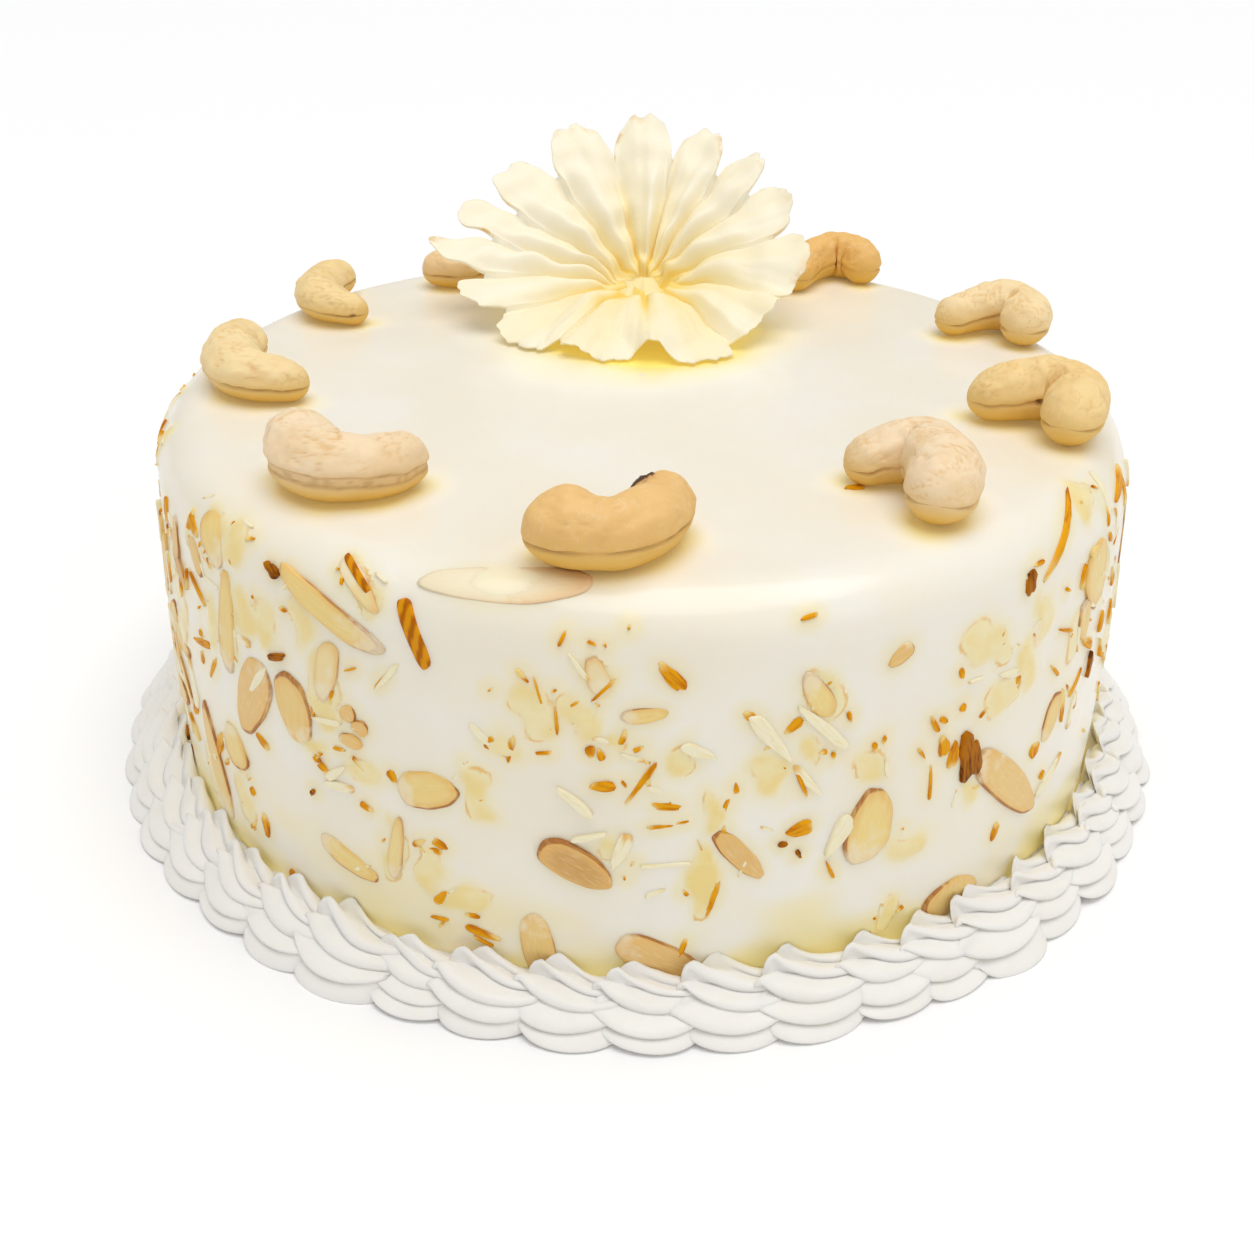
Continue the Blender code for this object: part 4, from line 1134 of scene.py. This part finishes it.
def flower():
    """The cream flower: one lobed sheet of petals round a hub, with curls.

    A column of the sheet runs out from the hub at one azimuth. Its elevation
    and length pass smoothly from petal to petal, and between two petals the
    length falls to a notch. Across a petal, v runs from -1 to 1: its edge
    stands over the next petal's, a crease lies along each edge, and a fold
    beside a trough runs up its face. Ruffled petals wave up and down towards
    a toothed rim. The under face lies below by a thickness that rounds off
    at the rim.
    """
    rows, columns = 64, 38
    table = np.array(PETALS, float)
    count = len(table)
    around = np.radians(table[:, 0])
    before = np.roll(around, 1)
    after = np.roll(around, -1)
    low = around - 0.5 * ((around - before) % (2 * math.pi))
    high = around + 0.5 * ((after - around) % (2 * math.pi))
    v = np.sin((np.arange(columns) + 0.5 - columns / 2) / columns * math.pi)[None, :]
    mid = around[:, None]
    angle = mid + np.where(v < 0, v * (mid - low[:, None]), v * (high[:, None] - mid))
    longest = np.hypot(table[:, 1], table[:, 2])
    climb = np.arctan2(table[:, 2], table[:, 1])
    turns = np.concatenate([around - 2 * math.pi, around, around + 2 * math.pi])
    spread = np.linspace(-0.12, 0.12, 7)
    steep = np.mean([np.interp(angle + d, turns, np.tile(climb, 3)) for d in spread], 0)
    ruffle = np.mean([np.interp(angle + d, turns, np.tile(table[:, 3], 3)) for d in spread], 0)
    left = 0.5 * (longest + np.roll(longest, 1))
    right = 0.5 * (longest + np.roll(longest, -1))
    notch = np.where(v < 0, left[:, None], right[:, None]) * (0.75 + 0.17 * ruffle)
    shape = (1 - np.abs(v) ** 2.3) ** 0.75
    length = notch + (longest[:, None] - notch) * shape
    teeth = 0.6 * np.sin(angle * 29 + 1) + 0.5 * np.sin(angle * 53) + 0.35 * np.sin(angle * 97 + 2)
    length = length * (1 + 0.008 * np.sin(angle * 41) + 0.022 * (0.25 + ruffle) * teeth)
    t = (1 - (1 - np.linspace(0, 1, rows)) ** 1.5)[None, None, :]
    v, angle, steep, ruffle, length = (m[..., None] + 0 * t for m in (v + 0 * angle, angle, steep,
                                                                     ruffle, length))
    number = np.arange(count)[:, None, None]
    run = 2.0 + (length * 0.985 - 2.0) * t
    hand = np.where(np.sin(mid - 0.1) < 0, 1.0, -1.0)[..., None]
    body_part = smooth(3.0, 16.0, run)
    edge = 1 - np.abs(v)
    free = fall(0.72, 1.0, t)
    crease = np.exp(-(edge / 0.24) ** 2)
    side = v * hand
    fold = 0.75 * np.exp(-((side - 0.5) / 0.38) ** 2) - 0.3 * np.exp(-((side + 0.25) / 0.4) ** 2)
    roll = 1.5 * (1 - np.abs(v) ** 2.6) * fall(0.35, 0.9, t)
    height = fold * fall(0.45, 0.95, t) + roll - 1.5 * crease * free
    height = height + 0.9 * side * smooth(0.1, 0.5, t)
    height = height - (1 - v * v) * smooth(0.5, 0.9, t) * (1 - ruffle)
    height = height * body_part * (1 - 0.45 * ruffle)
    out = np.stack([np.sin(angle), -np.cos(angle), 0 * angle], -1)
    rise = np.array([0.0, 0.0, 1.0])
    bow = 2.2 * np.sin(math.pi * t) * (0.1 + 1.1 * ruffle)
    along = np.cos(steep)[..., None] * out + np.sin(steep)[..., None] * rise
    lean = np.cos(steep)[..., None] * rise - np.sin(steep)[..., None] * out
    wave = np.sin(angle * 10 + 0.9 * np.sin(angle * 4 + 1)) * 2.9 + np.sin(angle * 21 + 1) * 0.8
    wave = (wave + 0.6) * ruffle * smooth(0.45, 1.0, t) - 3.4 * ruffle * smooth(0.35, 1.0, t)
    upper = FLOWER_CENTRE + rise * 2.8 + along * run[..., None]
    soft = 0.35 * ripple(upper, 9.0, 61) * smooth(4.0, 14.0, run)
    soft = soft + 1.5 * ripple(upper, 5.5, 62) * fall(3.0, 13.0, run)
    upper = upper + lean * (height + bow + soft)[..., None] + rise * wave[..., None]
    upper = upper - lean * (t ** 7)[..., None]
    thick = 3.0 * np.maximum(1 - t ** 6, 0.0) ** 0.5 * (1 - 0.3 * t)
    floor = FLOWER_CENTRE[2] + 0.1
    upper[..., 2] = np.maximum(upper[..., 2], floor + 0.15 + thick)
    lower = upper - lean * thick[..., None]
    lower[..., 2] = np.maximum(lower[..., 2], floor)
    sheet = np.concatenate([upper, lower[:, :, ::-1]], 2).reshape(count * columns, 2 * rows, 3)
    sheet = sheet.transpose(1, 0, 2)
    # The crease value is painted shade: deeper yellow in the creases, troughs and towards the hub,
    # lighter on fold crests; it is also warmer on the ruffled petals.
    deep = 0.6 * crease * fall(0.35, 0.85, t) + 0.6 * fall(0.05, 0.4, t)
    deep = deep + 0.3 * fall(0.15, 0.8, t) + 0.62 * ruffle * (1 - 0.4 * smooth(0.6, 1.0, t))
    deep = deep + 0.5 * np.clip(-fold, 0, 1) * fall(0.3, 0.8, t)
    deep = deep - 0.35 * np.clip(fold, 0, 1) * smooth(0.05, 0.3, t)
    dry = smooth(0.94, 1.0, t) * (steep > 0.3) * (0.5 + 0.5 * np.sin(v * 3 + number * 2))
    both = [np.concatenate([m, m[:, :, ::-1]], 2).reshape(count * columns, 2 * rows).T
            for m in (deep, dry)]
    faces = grid_faces(*sheet.shape[:2])
    ring = np.arange(count * columns)
    last = (2 * rows - 1) * count * columns
    inner = np.stack([ring + last, (ring + 1) % (count * columns) + last,
                      (ring + 1) % (count * columns), ring], -1)
    turn = np.linspace(0, 2 * math.pi, 72, endpoint=False)[None, :]
    radius = np.array([11.0, 11.0, 9.5, 7.0, 4.5, 2.5, 0.05])[:, None]
    height = np.array([0.0, 1.4, 2.4, 3.6, 4.8, 5.6, 5.9])[:, None]
    hub = np.stack([radius * np.sin(turn), -radius * np.cos(turn), height + 0 * turn], -1)
    hub = hub + FLOWER_CENTRE + 0.8 * rise * (ripple(hub, 3.2, 9) * (radius < 8))[..., None]
    hub_faces = grid_faces(*hub.shape[:2]) + sheet.size // 3
    everything = np.concatenate([sheet.reshape(-1, 3), hub.reshape(-1, 3)])
    # The hub's hollow gets the same painted shade.
    base = np.full(hub.shape[0] * hub.shape[1], 0.9)
    make_piece("cream_flower", everything, [faces, inner, hub_faces], petal_look(),
               ["flower"],
               {"crease": np.concatenate([both[0].ravel(), base]),
                "tip": np.concatenate([both[1].ravel(), base * 0])})


# Stage

SUN_POWER, FRONT_POWER, WORLD_POWER = 1.76, 1.15, 0.475


def stage():
    """A plain pale floor and soft studio light."""
    bpy.ops.mesh.primitive_plane_add(size=8.0, location=(0, 0, 0))
    floor = bpy.context.object
    floor.name = "floor"
    pale = bpy.data.materials.new("floor")
    pale.use_nodes = True
    shader = pale.node_tree.nodes["Principled BSDF"]
    shader.inputs["Base Color"].default_value = (0.97, 0.97, 0.97, 1)
    shader.inputs["Roughness"].default_value = 0.9
    floor.data.materials.append(pale)
    world = bpy.data.worlds.new("studio")
    world.use_nodes = True
    world.node_tree.nodes["Background"].inputs["Color"].default_value = (1, 1, 1, 1)
    world.node_tree.nodes["Background"].inputs["Strength"].default_value = WORLD_POWER
    bpy.context.scene.world = world
    for name, kind, place, power in (("above", "SUN", (0.08, -0.04, 1.1), SUN_POWER),
                                     ("front", "AREA", (0.75, -1.05, 0.9), FRONT_POWER)):
        data = bpy.data.lights.new(name, kind)
        data.energy = power
        if kind == "SUN":
            data.angle = math.radians(55)
        else:
            data.size = 0.8
        light = bpy.data.objects.new(name, data)
        bpy.context.scene.collection.objects.link(light)
        light.location = place
        light.rotation_mode = "QUATERNION"
        light.rotation_quaternion = (Vector((0, 0, 0.05)) - Vector(place)).to_track_quat("-Z", "Y")
    bpy.context.scene.view_settings.view_transform = "Standard"


make_camera()
stage()
almonds()
body()
border()
for index, nut in enumerate(CASHEWS, start=1):
    cashew(index, nut, nut_look(
        "cashew_%d" % index, index * 7, NUT_PEACH[index - 1], NUT_BROWN[index - 1]))
flower()
